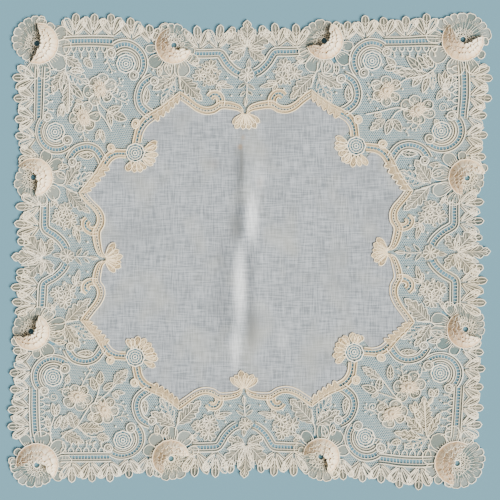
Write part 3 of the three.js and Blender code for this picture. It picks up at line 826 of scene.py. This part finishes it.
for place in HALF_SIDES:
    for leaf in SIDE_LEAVES:
        listed_leaf(spray_cords, place, leaf, veins=2)
    stem(spray_cords, place, [(48.5, 130), (48.6, 125), (46.8, 119.5), (46.4, 112)], 0.4)
    stem(spray_cords, place, [(41, 133), (37, 130), (32, 126)])
    stem(spray_cords, place, [(23.5, 119), (20.8, 116.2)])
    for x, y, turn in FLORETS:
        floret(place, x, y, turn + hands.uniform(-20, 20), reach=hands.uniform(4.9, 5.6))
    for x, y in FLORET_BUDS:
        for turn in (0, 120, 240):
            worked_leaf(spray_cords, place, x, y, turn + hands.uniform(0, 90), 2.8, 1.9, veins=0, full=0.6)
    for x, y in SIDE_KNOTS:
        knot(spray_cords, place, x, y, 0.85)
for place in WHOLE_SIDES:
    floret(place, 0, 122.4, 18, 9, 5.4, 2.7)
    worked_leaf(spray_cords, place, 0.8, 126, 84, 7, 2.8, veins=1)
    stem(spray_cords, place, [(0, 117), (0.4, 110), (0, 101)], 0.36)
    worked_leaf(spray_cords, place, 0.2, 107.2, 270, 6.6, 2.4, veins=0)
    for y, length in ((116.2, 6), (110.8, 4.4)):
        for way in (1, -1):
            foot = (way * 0.7, y + hands.uniform(-0.5, 0.5))
            turn = 270 + way * hands.uniform(40, 56)
            worked_leaf(spray_cords, place, *foot, turn, length * 1.1, 2, veins=0, point=1)

# Corner bouquets: each corner has its own, of open flowers, toothed leaves, buds, branching sprigs
# with dotted ends and small spirals. Places are outward from the middle, as in the top right corner.
CORNERS = {
    # Leaves are x, y, heading, length, width, then teeth and whether it is open where it has them.
    # Sprigs are x, y, heading, length.
    "top_left": {
        "sign": (-1, 1), "flowers": [(102, 113), (112, 94.5)],
        "leaves": [
            (127, 125.5, 298, 16, 8.4, 4), (127, 125, 274, 14, 5.4), (126, 124.5, 204, 18, 8.4, 5, True),
            (123, 125.6, 184, 10, 4), (124, 117, 268, 19.5, 7.4, 5), (123.2, 117.3, 226, 15, 4.6),
            (128, 134, 206, 14.5, 6.4, 4), (113.4, 133, 228, 8.4, 4.8), (96, 98, 159, 10, 4.8),
            (92.4, 97, 197, 11, 5.6), (95.4, 98.4, 252, 9.6, 3.8), (127, 104, 262, 9, 3.4),
            (127, 104, 284, 9, 3.4), (100, 87, 250, 9, 3.6), (100, 87, 290, 8, 3.4),
            (118, 106, 200, 5, 2.8), (118, 104, 236, 5, 2.8),
        ],
        "stems": [
            [(126.4, 128), (126.2, 125), (123.2, 117.3), (122.2, 98)],
            [(92, 86), (97, 93), (102, 99), (104, 106)],
            [(93, 98), (99, 101), (103, 106)],
        ],
        "sprigs": [(98.6, 137, 253, 13), (96, 108.5, 130, 11), (95, 110, 208, 13), (112, 88, 262, 8)],
        "spirals": [(85.5, 109)], "knots": [(117, 125.5), (98, 131), (83.5, 90), (90, 113), (87, 119)],
    },
    "top_right": {
        "sign": (1, 1), "flowers": [(94.5, 110.5), (114.5, 98.5)],
        "leaves": [
            (118, 124, 135, 14, 5.4), (122, 126, 131, 11, 5), (125, 127, 127, 10.5, 5),
            (124, 121, 174, 25.5, 7, 6), (125, 125, 266, 13, 3.8, 3, True), (122, 121, 250, 12, 4.4),
            (117, 121, 232, 9, 4.4), (132, 112, 88, 13, 4.8), (132, 112, 108, 11.5, 4.2),
            (132, 112, 68, 11.5, 4.2), (131.8, 112.4, 232, 8.4, 4), (131.8, 112.4, 300, 6.6, 3.8),
            (101, 127, 136, 8.6, 4.4), (101, 127, 196, 8, 4.6), (98, 92, 305, 10, 5.4),
            (93, 92, 218, 12, 6, 4), (97, 92, 253, 11, 5), (91, 95.6, 200, 5, 4), (126, 93, 300, 7, 3.6),
        ],
        "stems": [
            [(127, 130), (125.9, 126), (118, 121), (108, 119), (100, 113)],
            [(101, 127), (104, 127), (110, 125)],
            [(80, 95), (90, 97), (100, 99.6), (108, 99)], [(97, 92), (101, 97), (108, 100)],
        ],
        "sprigs": [
            (138.4, 121, 270, 8), (116, 93, 250, 8), (112, 92, 236, 9), (91, 116, 200, 8),
            (90, 105, 176, 7),
        ],
        "spirals": [(131, 100.5)], "knots": [(92, 128), (85, 121), (88, 99), (120, 110), (105, 112)],
    },
    "bottom_left": {
        "sign": (-1, -1), "flowers": [(97, 110), (114.5, 100)],
        "leaves": [
            (99.5, 92.5, 264, 10, 5), (102, 96, 286, 10, 5), (97, 96, 214, 8.6, 4.4),
            (90, 92, 222, 14, 7.6, 5), (90, 98, 176, 7.6, 3.2), (91, 98, 130, 6, 3.4),
            (117, 123, 286, 12.5, 8, 4), (116, 122.5, 177, 18.5, 8, 5), (127, 126, 153, 17, 8, 5),
            (126, 124, 254, 11, 6.6, 3), (130.4, 114, 276, 10, 3.6), (130, 114, 252, 9.6, 3.4),
            (131, 123, 243, 11, 3.4), (134.4, 124.5, 276, 11, 3.2), (103, 129, 174, 8.6, 6.4, 3),
            (108, 117, 200, 7, 3.4), (108, 117, 245, 6, 3), (121, 90, 262, 6, 3.4),
        ],
        "stems": [
            [(127.5, 130), (122, 125), (116.6, 122.1), (110, 112), (106, 106)],
            [(99.5, 92.5), (101.5, 100), (104, 106)],
            [(88, 92), (93, 97), (99, 102), (103, 106)], [(134, 134), (134, 124), (130.6, 114)],
            [(116, 121), (111, 127), (107, 129), (103, 129)],
        ],
        "sprigs": [
            (112, 94, 243, 14), (127.6, 95, 200, 7), (91, 106, 170, 8), (90, 116, 195, 8),
            (107, 129, 80, 5),
        ],
        "spirals": [(130.6, 99.5)], "knots": [(104, 133), (90, 121.5), (84.5, 90), (120, 84)],
    },
    "bottom_right": {
        "sign": (1, -1), "flowers": [(101, 113), (110.5, 94.5)],
        "leaves": [
            (123.6, 125, 262, 24.5, 9, 7), (125.3, 128.1, 293, 18, 5.6, 4), (122, 126, 222, 17, 6.4, 4),
            (121, 128.4, 188, 18, 6.4, 4), (125.3, 129, 158, 16, 6.6, 4, True), (120, 117, 238, 10, 4),
            (90, 98.4, 197, 11, 5), (90.6, 98, 276, 9.4, 4.8), (91, 99, 144, 5.4, 3),
            (92, 90, 207, 14, 5.6, 4), (98, 90, 268, 10.5, 4.2), (116, 112, 262, 8, 3.6),
            (116, 112, 232, 7, 3.4), (108, 131, 160, 7, 4), (126.6, 101, 244, 6, 4.2),
            (126.6, 101, 296, 6, 4.2), (124, 106, 300, 5, 2.6),
        ],
        "stems": [
            [(127, 130), (125.3, 128.1), (123.6, 124), (121, 103)], [(120, 122), (117, 117), (114.5, 110)],
            [(91, 88), (96, 94), (101, 100), (106, 104)], [(91, 99), (99, 101.4), (106, 104)],
            [(123, 108), (126, 104), (126.6, 101)],
        ],
        "sprigs": [
            (96, 131.7, 185, 8), (106, 90, 262, 9), (92, 114, 206, 10), (97.5, 103, 150, 5),
            (116, 88, 290, 8),
        ],
        "spirals": [(88, 108.5)],
        "knots": [(122.5, 90.2), (131.7, 103.4), (100.6, 134), (129, 108.4), (86, 93)],
    },
}
FLOWER_RADIUS = 9.6
FLOWER_PETALS = 6
LOOP_SIZE = 0.55
SPIRAL = np.linspace(0, 500, 22)
bouquet_cords = Gathered()


def open_flower(place, x, y, turn):
    """Uneven rounded petals of sheer stitch, each with a smaller loop, ribs and a ringed hole."""
    for petal in range(FLOWER_PETALS):
        heading = turn + 360 / FLOWER_PETALS * petal + hands.uniform(-11, 11)
        foot = drawn_at(x, y, heading, 1.6)
        deep = FLOWER_RADIUS * hands.uniform(0.76, 1.06)
        width = hands.uniform(6, 8.6)
        full = hands.uniform(0.56, 0.68)
        for size in (1, LOOP_SIZE) if petal % 2 else (1,):
            turned = heading + (1 - size) * 10
            sides = leaf_sides(*foot, turned, deep * size, width * size, full=full, point=0.5)
            cloth = (gauze if petal % 3 else fillings) if size == 1 else None
            looped(bouquet_cords, cloth, place, sides, OUTLINE * (0.3 + 0.7 * size))
        for share in (-0.6, -0.2, 0.2, 0.6):
            rib = drawn_at(x, y, heading + share * 30, np.array((3.8, deep * hands.uniform(0.8, 0.98))))
            lay_cord(bouquet_cords, place(rib), VEIN)
        hole = drawn_at(x, y, heading + hands.uniform(-8, 8), deep * 0.9)
        lay_cord(bouquet_cords, place(ring(*hole, 0.9, 60)), VEIN, closed=True)


def branching(place, x, y, heading, length):
    """A thin stem with short side branches, each ending in a dot."""
    stem(bouquet_cords, place, drawn_at(x, y, heading, np.linspace(0, length, 4), (0, 0.5, 0.2, -0.4)))
    for step, at in enumerate(np.arange(2, length + 0.5, 2.3)):
        foot = drawn_at(x, y, heading, at)
        tip = drawn_at(*foot, heading + (52 if step % 2 else -52), 3.2)
        stem(bouquet_cords, place, [foot, tip], VEIN)
        knot(bouquet_cords, place, *tip, 0.72)
    knot(bouquet_cords, place, *drawn_at(x, y, heading, length + 0.6), 0.72)


for make in CORNERS.values():
    def place(line, sign=make["sign"]):
        return np.asarray(line, dtype=float) * sign

    for x, y in make["flowers"]:
        open_flower(place, x, y, hands.uniform(0, 60))
    for leaf in make["leaves"]:
        listed_leaf(bouquet_cords, place, leaf, veins=3)
    for route in make["stems"]:
        stem(bouquet_cords, place, route, 0.4)
    for sprig in make["sprigs"]:
        branching(place, *sprig)
    for x, y in make["spirals"]:
        lay_cord(bouquet_cords, place(drawn_at(x, y, SPIRAL, 3.2 - SPIRAL / 230)), VEIN + 0.06)
    for x, y in make["knots"]:
        knot(bouquet_cords, place, x, y)

# Roses, flat part: sheer scalloped petals round an open eye. Between eye and petals the work is open, only
# bars with a ring of small holes, and a few long petals are laid towards the middle. Under the bars lies a
# dark sheer sheet, and round the eye a ring of cloth stitch, both painted shade.
ROSES = {
    # eye x and y, heading of the raised crescent's middle, its sweep and outer radius,
    # then the middle of the flat rose and its reach
    "top_left_corner": (-148, 144.2, -10, 195, 13.6, -148, 147, 15.6),
    "top_left": (-52.5, 144, 223, 238, 11.8, -53.8, 143, 16.6),
    "top_right": (53.3, 144.4, 314, 228, 12, 51, 142.8, 16.8),
    "top_right_corner": (145.2, 145.6, 250, 238, 13.6, 146.5, 146.5, 17.6),
    "right_upper": (145.8, 51.8, 133, 238, 12, 141.6, 50.6, 17),
    "right_lower": (145.3, -52, 221, 212, 12, 142.3, -51.4, 17),
    "bottom_right_corner": (147.4, -146.2, 162, 196, 14.4, 147.2, -145.4, 17.2),
    "bottom_right": (53.7, -145.4, 54, 238, 11.8, 53, -144.4, 16.6),
    "bottom_left": (-51.7, -146.7, 125, 232, 12, -52.6, -144.8, 16.8),
    "bottom_left_corner": (-146, -149.3, 74, 222, 13.8, -146.7, -147.2, 17),
    "left_lower": (-145, -53.4, 309, 226, 11.9, -141.8, -52.6, 16.8),
    "left_upper": (-146.8, 53, 31, 225, 12.4, -143.4, 51.4, 17),
}
LONG_PETALS = 7
LONG_PETAL_WIDTH = 8.4
# How much further they reach on the way to the cloth's middle, on a side and at a corner
FACING_REACH = (7, 9.5)
PETAL_END = 17.2
PETAL_LAP = 1.5
RIM_LOBES = 17
RIM_BUMPS = 2
RIM_FOOT = 0.66
# Half of what the petals of a rim take up in degrees, a little over half a turn so that they lap
RIM_SPREAD = 188
SMALL_HOLES = 3.7
LARGE_HOLES = (6.4, 7.6)
EYE_RADIUS = 2.3
# Outer radius of the ring of painted shade round the eye
EYE_SHADE_RADIUS = 5.2
rose_cords = Gathered()


def long_petal(x, y, heading, length, width):
    sides = leaf_sides(x, y, heading, length, width, full=0.6, point=0.4)
    left, middle, right = looped(rose_cords, gauze, np.asarray, sides, OUTLINE - 0.04)
    for shift in (-0.6, -0.2, 0.2, 0.6):
        line = middle * (1 - abs(shift)) + (left if shift < 0 else right) * abs(shift)
        lay_cord(rose_cords, line[1:hands.integers(4, 7)], VEIN)


def rim_petals(x, y, near, far, hidden):
    """Uneven petals with edges worked in small bumps, all round but for the hidden stretch."""
    widths = hands.uniform(0.75, 1.25, RIM_LOBES)
    ends = np.cumsum(widths) / widths.sum() * 360
    for end, spread in zip(ends, widths / widths.sum() * RIM_SPREAD):
        heading = end - spread
        if abs((heading - hidden[0] + 180) % 360 - 180) < hidden[1]:
            continue
        turn = np.linspace(-1, 1, 4 * RIM_BUMPS + 1)
        reach = far * hands.uniform(0.95, 1.03) - 1.5 * np.abs(turn) ** 2.4
        reach = reach + 0.35 * np.abs(np.sin(np.linspace(0, RIM_BUMPS * np.pi, len(turn))))
        inner = drawn_at(x, y, heading + turn * spread * 0.9, near)
        outer = drawn_at(x, y, heading + turn * spread, reach)
        fill_between(gauze, inner, outer)
        ends = outer[[0, -1]] * 0.55 + inner[[0, -1]] * 0.45
        lay_cord(rose_cords, np.concatenate((ends[:1], outer, ends[1:])), OUTLINE - 0.04)
        for share in (-0.7, -0.2, 0.3):
            tip = hands.uniform(0.76, 0.9) * far
            rib = drawn_at(x, y, heading + share * spread, np.array((near - 0.6, tip)))
            lay_cord(rose_cords, rib, VEIN)


def wavy_ring(x, y, radius, waves, thick):
    turn = np.arange(0, 360, 7.5)
    wave = 0.4 * np.abs(np.sin(np.radians(turn * waves / 2)))
    lay_cord(rose_cords, drawn_at(x, y, turn, radius + wave), thick, closed=True, tone=1.0)


def flat_rose(eye, middle, reach, heading, sweep, crescent):
    """The flat rose about its middle, its bars and ringed holes about the eye over painted shade, and its
    long petals.
    """
    rim_petals(*middle, reach * RIM_FOOT, reach, (heading, sweep / 2 - 18))
    # A dark sheer sheet under the bars, painted shade
    hollow = [ring(*eye, 5, 15, 361), ring(*middle, reach * 0.7, 15, 361)]
    fill_between(gauze, *hollow, height=0.5, rise=0, columns=1, tone=0.1)
    # A ring of cloth stitch round the eye, dimmed as painted shade from the raised petals
    eye_shade_ring = [ring(*eye, around, end=361) for around in (EYE_RADIUS, EYE_SHADE_RADIUS)]
    fill_between(fillings, *eye_shade_ring, height=0.6, rise=0, columns=1, tone=0.4)
    for turn in np.arange(0, 360, 12) + hands.uniform(-4, 4, 30):
        start = drawn_at(*eye, turn, hands.uniform(4.6, 5.4))
        end = drawn_at(*middle, turn, reach * hands.uniform(0.64, 0.72))
        lay_cord(rose_cords, np.stack((start, end)), hands.uniform(0.18, 0.3), tone=1.0)
    wavy_ring(*eye, 4.9, 16, BAR)
    for turn in np.arange(0, 360, 36):
        hole = drawn_at(*eye, turn, SMALL_HOLES)
        lay_cord(rose_cords, ring(*hole, 0.95, 60), VEIN, closed=True)
    for turn in np.arange(10, 360, 24):
        hole = drawn_at(*eye, turn + hands.uniform(-5, 5), hands.uniform(*LARGE_HOLES))
        lay_cord(rose_cords, ring(*hole, hands.uniform(0.9, 1.4), 60), VEIN, closed=True)
    lay_cord(rose_cords, ring(*eye, EYE_RADIUS), OUTLINE, closed=True)
    worked_over.append(ring(*middle, reach - 1, 15))
    inward = np.degrees(np.arctan2(-middle[1], -middle[0]))
    at_corner = min(abs(middle[0]), abs(middle[1])) > CORNER_ROSE * 0.7
    if not at_corner:
        inward = 90 * round(inward / 90)
    for turn in np.linspace(heading - sweep / 2 + 14, heading + sweep / 2 - 14, LONG_PETALS):
        turn = turn + hands.uniform(-4, 4)
        facing = max(0, math.cos(math.radians(turn - inward)))
        foot = drawn_at(*eye, turn, crescent - PETAL_LAP)
        end = PETAL_END + FACING_REACH[at_corner] * facing ** 0.7 * hands.uniform(0.85, 1.08)
        width = LONG_PETAL_WIDTH * hands.uniform(0.85, 1.2) * (0.7 + 0.4 * facing)
        long_petal(*foot, turn, end - crescent + PETAL_LAP, width)


for eye_x, eye_y, heading, sweep, crescent, x, y, reach in ROSES.values():
    flat_rose((eye_x, eye_y), (x, y), reach, heading, sweep, crescent)

# Net ground: fine thread worked last, loop by loop, between all the motifs, from the frame to the leaf
# edge. Its meshes are six-sided, and each of its threads is a flat ribbon here.
NET_PITCH = 1.3
NET_THREAD = 0.24
NET_HEIGHT = 0.42
NET_FROM_EDGE = 7
NET_SPAN = (160, 185)
MASK_STEP = 0.5
MASK_REACH = 170


def mask_of(outlines):
    """A raster of the even layout that is true inside any of the outlines."""
    count = round(2 * MASK_REACH / MASK_STEP)
    mask = np.zeros((count, count), dtype=bool)
    for outline in outlines:
        low = np.clip(((outline.min(axis=0) + MASK_REACH) / MASK_STEP).astype(int), 0, count - 1)
        high = np.clip(((outline.max(axis=0) + MASK_REACH) / MASK_STEP).astype(int) + 2, 0, count)
        xs, ys = np.arange(low[0], high[0]), np.arange(low[1], high[1])
        grid = np.stack(np.meshgrid(xs, ys), axis=-1).reshape(-1, 2)
        within = inside((grid + 0.5) * MASK_STEP - MASK_REACH, outline)
        mask[grid[within, 0], grid[within, 1]] = True
    return mask


def looked_up(mask, places):
    index = np.clip(((places + MASK_REACH) / MASK_STEP).astype(int), 0, len(mask) - 1)
    return mask[index[..., 0], index[..., 1]]


net_reach = np.array([(x, edge_height(x) - NET_FROM_EDGE) for x in np.linspace(-148, 148, 40)])
net_region = mask_of([np.concatenate([place(net_reach) for place in WHOLE_SIDES])])
net_region &= ~mask_of([linen_line()])
net_region &= ~mask_of(worked_over)
counts = [round(span / NET_PITCH) for span in NET_SPAN]
grids = np.meshgrid(*[np.arange(-count, count + 1) for count in counts])
column, row = [grid.ravel() for grid in grids]
cells = np.column_stack((NET_PITCH * (column + 0.5 * (row % 2)), NET_PITCH * row * math.sqrt(0.75)))
corners = [cells + drawn_at(0, 0, turn, NET_PITCH / math.sqrt(3)) for turn in (30, 90, 150, 210)]
starts, ends = np.concatenate(corners[:3]), np.concatenate(corners[1:])
kept = looked_up(net_region, (starts + ends) / 2)
starts, ends = starts[kept], ends[kept]
ahead = (ends - starts) / np.linalg.norm(ends - starts, axis=1, keepdims=True)
across = np.stack((-ahead[:, 1], ahead[:, 0]), axis=1) * NET_THREAD / 2
ribbon = np.stack((starts - across, ends - across, ends + across, starts + across), axis=1)
wander = hands.uniform(-0.07, 0.07, ribbon.shape[:1] + (1, 1))
lift = np.full(ribbon.shape[:2] + (1,), NET_HEIGHT) + wander
net = Gathered()
faces = np.arange(4 * len(ribbon)).reshape(-1, 4).tolist()
tone = np.repeat(hands.uniform(0.3, 0.9, len(ribbon)), 4)
net.add(np.concatenate((ribbon, lift), axis=2).reshape(-1, 3), faces, tone)

# Lace finishes: all one unbleached linen thread gone ivory, lighter on the corded edges, greyer where
# the stitch is sheer, yellowed along the frame. The lace's pieces are joined here, and all its cloth
# stitch is one mesh.
STITCHES = (2200, 2200, 2200)


def thread_finish(name, dark, light, aged, alpha=1.0):
    """A thread coloured dark to light by its piece's tone, painted shade where a piece sets tone by height,
    and aged in patches.
    """
    material, tree, shader = new_finish(name)
    tone = added(tree, "ShaderNodeAttribute", attribute_name="tone").outputs["Fac"]
    grain = noise_at(tree, STITCHES, detail=1.0, seed=2.3)
    shade = reckoned(tree, "ADD", tone, ranged(tree, grain, -0.25, 0.25), use_clamp=True)
    cloth = blended(tree, shade, dyed(*dark), dyed(*light))
    patches = ranged(tree, noise_at(tree, (22, 22, 1), seed=5.9), 0, 0.45, 0.42, 0.68)
    cloth = blended(tree, patches, cloth, dyed(*aged))
    surfaced(tree, shader, cloth, ranged(tree, grain, 0.75, 0.95), grain, alpha, strength=0.8)
    return material


corded = thread_finish("corded_thread", (208, 194, 166), (255, 248, 228), (244, 226, 188))
stitched = thread_finish("cloth_stitch", (72, 84, 80), (138, 138, 126), (130, 122, 98), alpha=0.88)
sheer = thread_finish("sheer_stitch", (96, 116, 114), (148, 156, 150), (146, 138, 116), alpha=0.84)
yellowed = thread_finish("yellowed_stitch", (144, 126, 96), (204, 188, 154), (182, 156, 116))
yellowed_cord = thread_finish("yellowed_thread", (228, 202, 156), (255, 240, 208), (246, 218, 166))
meshed = thread_finish("net_thread", (140, 152, 148), (214, 218, 206), (200, 194, 172))

net_piece = piece("net_ground", net.mesh("net_ground"), meshed, "lace", "lace_border")
for name, cords in (
    ("edge_leaf_cords", edge_cords), ("ladder_band_cords", band_cords), ("wheel_cords", wheel_cords),
    ("side_spray_cords", spray_cords), ("bouquet_cords", bouquet_cords), ("flat_rose_cords", rose_cords),
):
    piece(name, cords.mesh(name), corded, "lace", "lace_border")
piece("frame_cords", frame_cords.mesh("frame_cords"), yellowed_cord, "lace", "lace_border")
fillings.take(gauze, 1)
fillings.take(frame_fillings, 2)
lace = piece("cloth_stitch_fillings", fillings.mesh("cloth_stitch_fillings"), stitched, "lace", "lace_border")
lace.data.materials.append(sheer)
lace.data.materials.append(yellowed)

# Raised petals: each rose has rows of small worked petals standing up around the hollow of its eye,
# lapped like shingles. They are sewn down at the outer edge, and their scalloped inner edges stand
# free, each over the foot of the next row, whipped with a fine cord.
CRESCENT_WIDTH = 0.72
CRESCENT_TIP = 0.3
CRESCENT_HOLLOW = 3.6
PETAL_SEAT = 1.5
ROW_HEIGHTS = (2.6, 4.2, 5.3)
FIRST_FOOT = 1.4
ROW_DROP = 2.4
ROW_LAP = 0.1
PETAL_PITCH = 2.8
PETAL_COLUMNS = 8
PETAL_LINES = 6
PETAL_BULGE = 0.75
# Painted shade in the grooves between petals, and on the petals left of the eye that face away from the lamp
DEEP_SHADE = 0.6
LEFT_SIDE_SHADE = 0.48


def raised_petals(eye, heading, sweep, radius):
    """Rows of uneven petals about an eye, bulging, with tapered tips, painted light at the edges and shade
    below.
    """
    work = Gathered()
    rows = len(ROW_HEIGHTS)
    for row, high in enumerate(ROW_HEIGHTS):
        foot, edge = row / rows - ROW_LAP, (row + 1) / rows
        low = (ROW_HEIGHTS[row - 1] if row else FIRST_FOOT) - ROW_DROP
        arc = math.radians(sweep) * max(radius * (1 - CRESCENT_WIDTH * edge * 0.9), CRESCENT_HOLLOW)
        columns = max(6, round(arc / PETAL_PITCH)) * PETAL_COLUMNS
        along = np.linspace(-1, 1, columns + 1) * (1 - 0.02 * row)
        turn = np.radians(heading - along * sweep / 2)
        taper = 1 - (1 - CRESCENT_TIP) * np.abs(along) ** 2.6
        petal = np.arange(columns + 1) / PETAL_COLUMNS
        petal = np.maximum(petal + 0.25 * np.sin(petal * 1.9 + row * 2.1) + hands.uniform(0, 1), 0)
        which = petal.astype(int)
        bulge = np.abs(np.sin(np.pi * petal)) ** 0.8
        size = hands.uniform(0.7, 1.3, which.max() + 1)[which]
        lean = hands.uniform(-0.4, 0.4, which.max() + 1)[which]
        # Painted shade on the petals left of the eye, which face away from the lamp
        left_side_shade = np.clip(0.15 - 1.2 * np.cos(turn - 0.5), 0, 1)
        left_shade_factor = 1 - LEFT_SIDE_SHADE * left_side_shade
        lines, tones = [], []
        for share in np.linspace(0, 1, PETAL_LINES):
            inward = foot + (edge - foot) * share
            scallop = share * (0.8 - (1.5 + 0.8 * row / rows) * bulge * size)
            scallop = scallop + (1 - share) * (0.35 * bulge * size if row == 0 else 0)
            reach = radius * (1 - CRESCENT_WIDTH * taper * inward) + scallop
            lift = (low + (high - low) * share ** 0.8) * (0.35 + 0.65 * taper)
            lift = lift + PETAL_BULGE * bulge * (0.45 + 0.55 * share) * size + share * lean
            flat = np.stack((eye[0] + reach * np.cos(turn), eye[1] + reach * np.sin(turn)), axis=1)
            lines.append(np.column_stack((flat, PETAL_SEAT + np.maximum(lift, 0))))
            # Painted light and shade: dark at each row's foot under the row above, light at the free edge,
            # dark in grooves
            tones.append((0.95 * share ** 0.6 - DEEP_SHADE * (1 - bulge) * (0.5 + 0.5 * share)) * left_shade_factor)
        top = lines[-1]
        if row == 0:
            lay_cord(work, lines[0][:, :2], 0.3, PETAL_SEAT + 0.2, tone=0.9)
        if row == rows - 1:
            # The hem that closes the inside below the free edge is given a darker tone, painted shade
            hem = np.column_stack((top[:, :2] + (top[:, :2] - eye) * 0.14, np.full(len(top), PETAL_SEAT)))
            lines.append(hem)
            tones.append(np.full(len(top), 0.6))
        tones = np.clip(np.concatenate(tones), 0, 1)
        work.add(np.concatenate(lines), lattice(len(lines), columns + 1), tones)
        # The edge cord is darker on the petals left of the eye, painted shade
        lay_cord(work, top[:, :2], 0.26, top[:, 2], tone=1 - 0.5 * left_side_shade)
    return work


def seated(work, eye, name):
    """The mesh of a small raised piece, kept in shape and moved whole to where its eye lies."""
    move = np.append(as_it_lies(np.array([eye]))[0] - eye, 0)
    return work.toned(name, np.concatenate(work.places) + move)


# The thread's dark end is painted shade and its light end painted highlight, as the petals' tone sets them
ruffled = thread_finish("raised_petal_thread", (194, 152, 102), (255, 247, 226), (248, 226, 184))
for name, (x, y, heading, sweep, radius, *_) in ROSES.items():
    work = raised_petals((x, y), heading, sweep, radius)
    mesh = seated(work, np.array((x, y)), "ruffled_petals_" + name)
    piece("ruffled_petals_" + name, mesh, ruffled, "raised_petals", "rose_petals_" + name)

# Flower hearts: a low padded ring of close stitches in each open flower of the corners, with a sunken
# middle and a ruff of small loops, sewn down over the petals.
HEART_RADIUS = 2.8
HEART_HEIGHT = 1.5
HEART_SEAT = 1.35
# Columns: share of the radius, share of the height
HEART_PROFILE = np.array([(1, 0), (0.94, 0.5), (0.8, 0.85), (0.6, 1), (0.42, 0.95), (0.28, 0.8), (0.1, 0.7)])
HEART_LOOP = {"full": 0.6, "point": 0.6}
HEART_FILLING = {"height": HEART_SEAT + 0.2, "rise": 0.5, "columns": 2, "tone": 0.3}
padded_tan = thread_finish("padded_heart_thread", (128, 98, 64), (252, 240, 212), (240, 216, 176))


def padded_heart(eye):
    """A ring of padding, ribbed with stitches, in a ruff of small loops that are longer one way."""
    work = Gathered()
    turn = np.arange(0, 360, 10)
    puckers = HEART_RADIUS * (1 + 0.03 * (turn / 10 % 2))
    rings = [drawn_at(*eye, turn, puckers * across) for across, _ in HEART_PROFILE]
    lift = np.repeat(HEART_SEAT + HEART_HEIGHT * HEART_PROFILE[:, 1], len(turn))
    faces = lattice(len(rings), len(turn), False, True)
    faces.append(list(range((len(rings) - 1) * len(turn), len(rings) * len(turn))))
    # Painted shade: the pad is darker towards its foot, and a little in its sunken middle
    tone = np.repeat(0.4 * HEART_PROFILE[:, 1], len(turn))
    work.add(np.column_stack((np.concatenate(rings), lift)), faces, tone)
    across, up = HEART_PROFILE[1:-1].T
    for rib in np.arange(0, 360, 18):
        line = drawn_at(*eye, rib + hands.uniform(-5, 5), HEART_RADIUS * across)
        lay_cord(work, line, 0.2, HEART_SEAT + HEART_HEIGHT * up + 0.1, tone=hands.uniform(0.6, 1))
    lengthwise = hands.uniform(0, 180)
    for loop in np.arange(0, 360, 24):
        foot = drawn_at(*eye, loop + hands.uniform(-8, 8), HEART_RADIUS * 0.8)
        long = 1.6 + 2.6 * abs(math.cos(math.radians(loop - lengthwise))) ** 2 * hands.uniform(0.8, 1.2)
        sides = leaf_sides(*foot, loop + hands.uniform(-12, 12), long, 1.5, **HEART_LOOP)
        looped(work, work, np.asarray, sides, 0.26, HEART_SEAT + 0.6, cord_tone=0.9, **HEART_FILLING)
    return work


for corner, make in CORNERS.items():
    for index, eye in enumerate(make["flowers"], 1):
        eye = np.array(eye, dtype=float) * make["sign"]
        name = f"padded_heart_{corner}_{index}"
        mesh = seated(padded_heart(eye), eye, name)
        piece(name, mesh, padded_tan, "flower_hearts", f"flower_heart_{corner}_{index}")

# Cloth: the linen and the lace are one handkerchief laid flat on a board painted dull blue. The linen's
# area is reckoned from its seam as it lies.
FLOOR = "floor"
FLOOR_PLACES = [(-3000, -3000, -0.3), (3000, -3000, -0.3), (3000, 3000, -0.3), (-3000, 3000, -0.3)]
floor = placed(FLOOR, mesh_of(FLOOR, np.array(FLOOR_PLACES), [(0, 1, 2, 3)]))
painted, _, shader = new_finish("painted_board")
shader.inputs["Base Color"].default_value = dyed(88, 130, 146)
shader.inputs["Roughness"].default_value = 0.8
floor.data.materials.append(painted)
linen_reach = as_it_lies(linen_line())
linen_area = abs(float(twice_area(linen_reach))) / 2 * MM ** 2

# Light and camera: one broad soft lamp low on the right and a pale room all round it. The cloth is
# seen from straight above with a long lens.
lamp = placed("soft_lamp", bpy.data.lights.new("soft_lamp", "SUN"))
lamp.data.energy = 9.8
lamp.data.angle = 0.6
lamp.data.color = (1, 0.97, 0.92)
lamp.location = (0.54, -0.36, 0.62)
aim = Vector((0, 0, 0)) - lamp.location
lamp.rotation_euler = aim.to_track_quat("-Z", "Y").to_euler()
room = bpy.data.worlds.new("pale_room")
room.use_nodes = True
room.node_tree.nodes["Background"].inputs["Color"].default_value = (1, 1, 1, 1)
room.node_tree.nodes["Background"].inputs["Strength"].default_value = 0.36
bpy.context.scene.world = room
CAMERA_HEIGHT = 1.5
FRAME_WIDTH = 0.3475
camera = placed("camera", bpy.data.cameras.new("camera"))
camera.data.lens = camera.data.sensor_width * CAMERA_HEIGHT / FRAME_WIDTH
camera.location = (LYING_SHIFT[0] * MM, LYING_SHIFT[1] * MM, CAMERA_HEIGHT)
bpy.context.scene.camera = camera
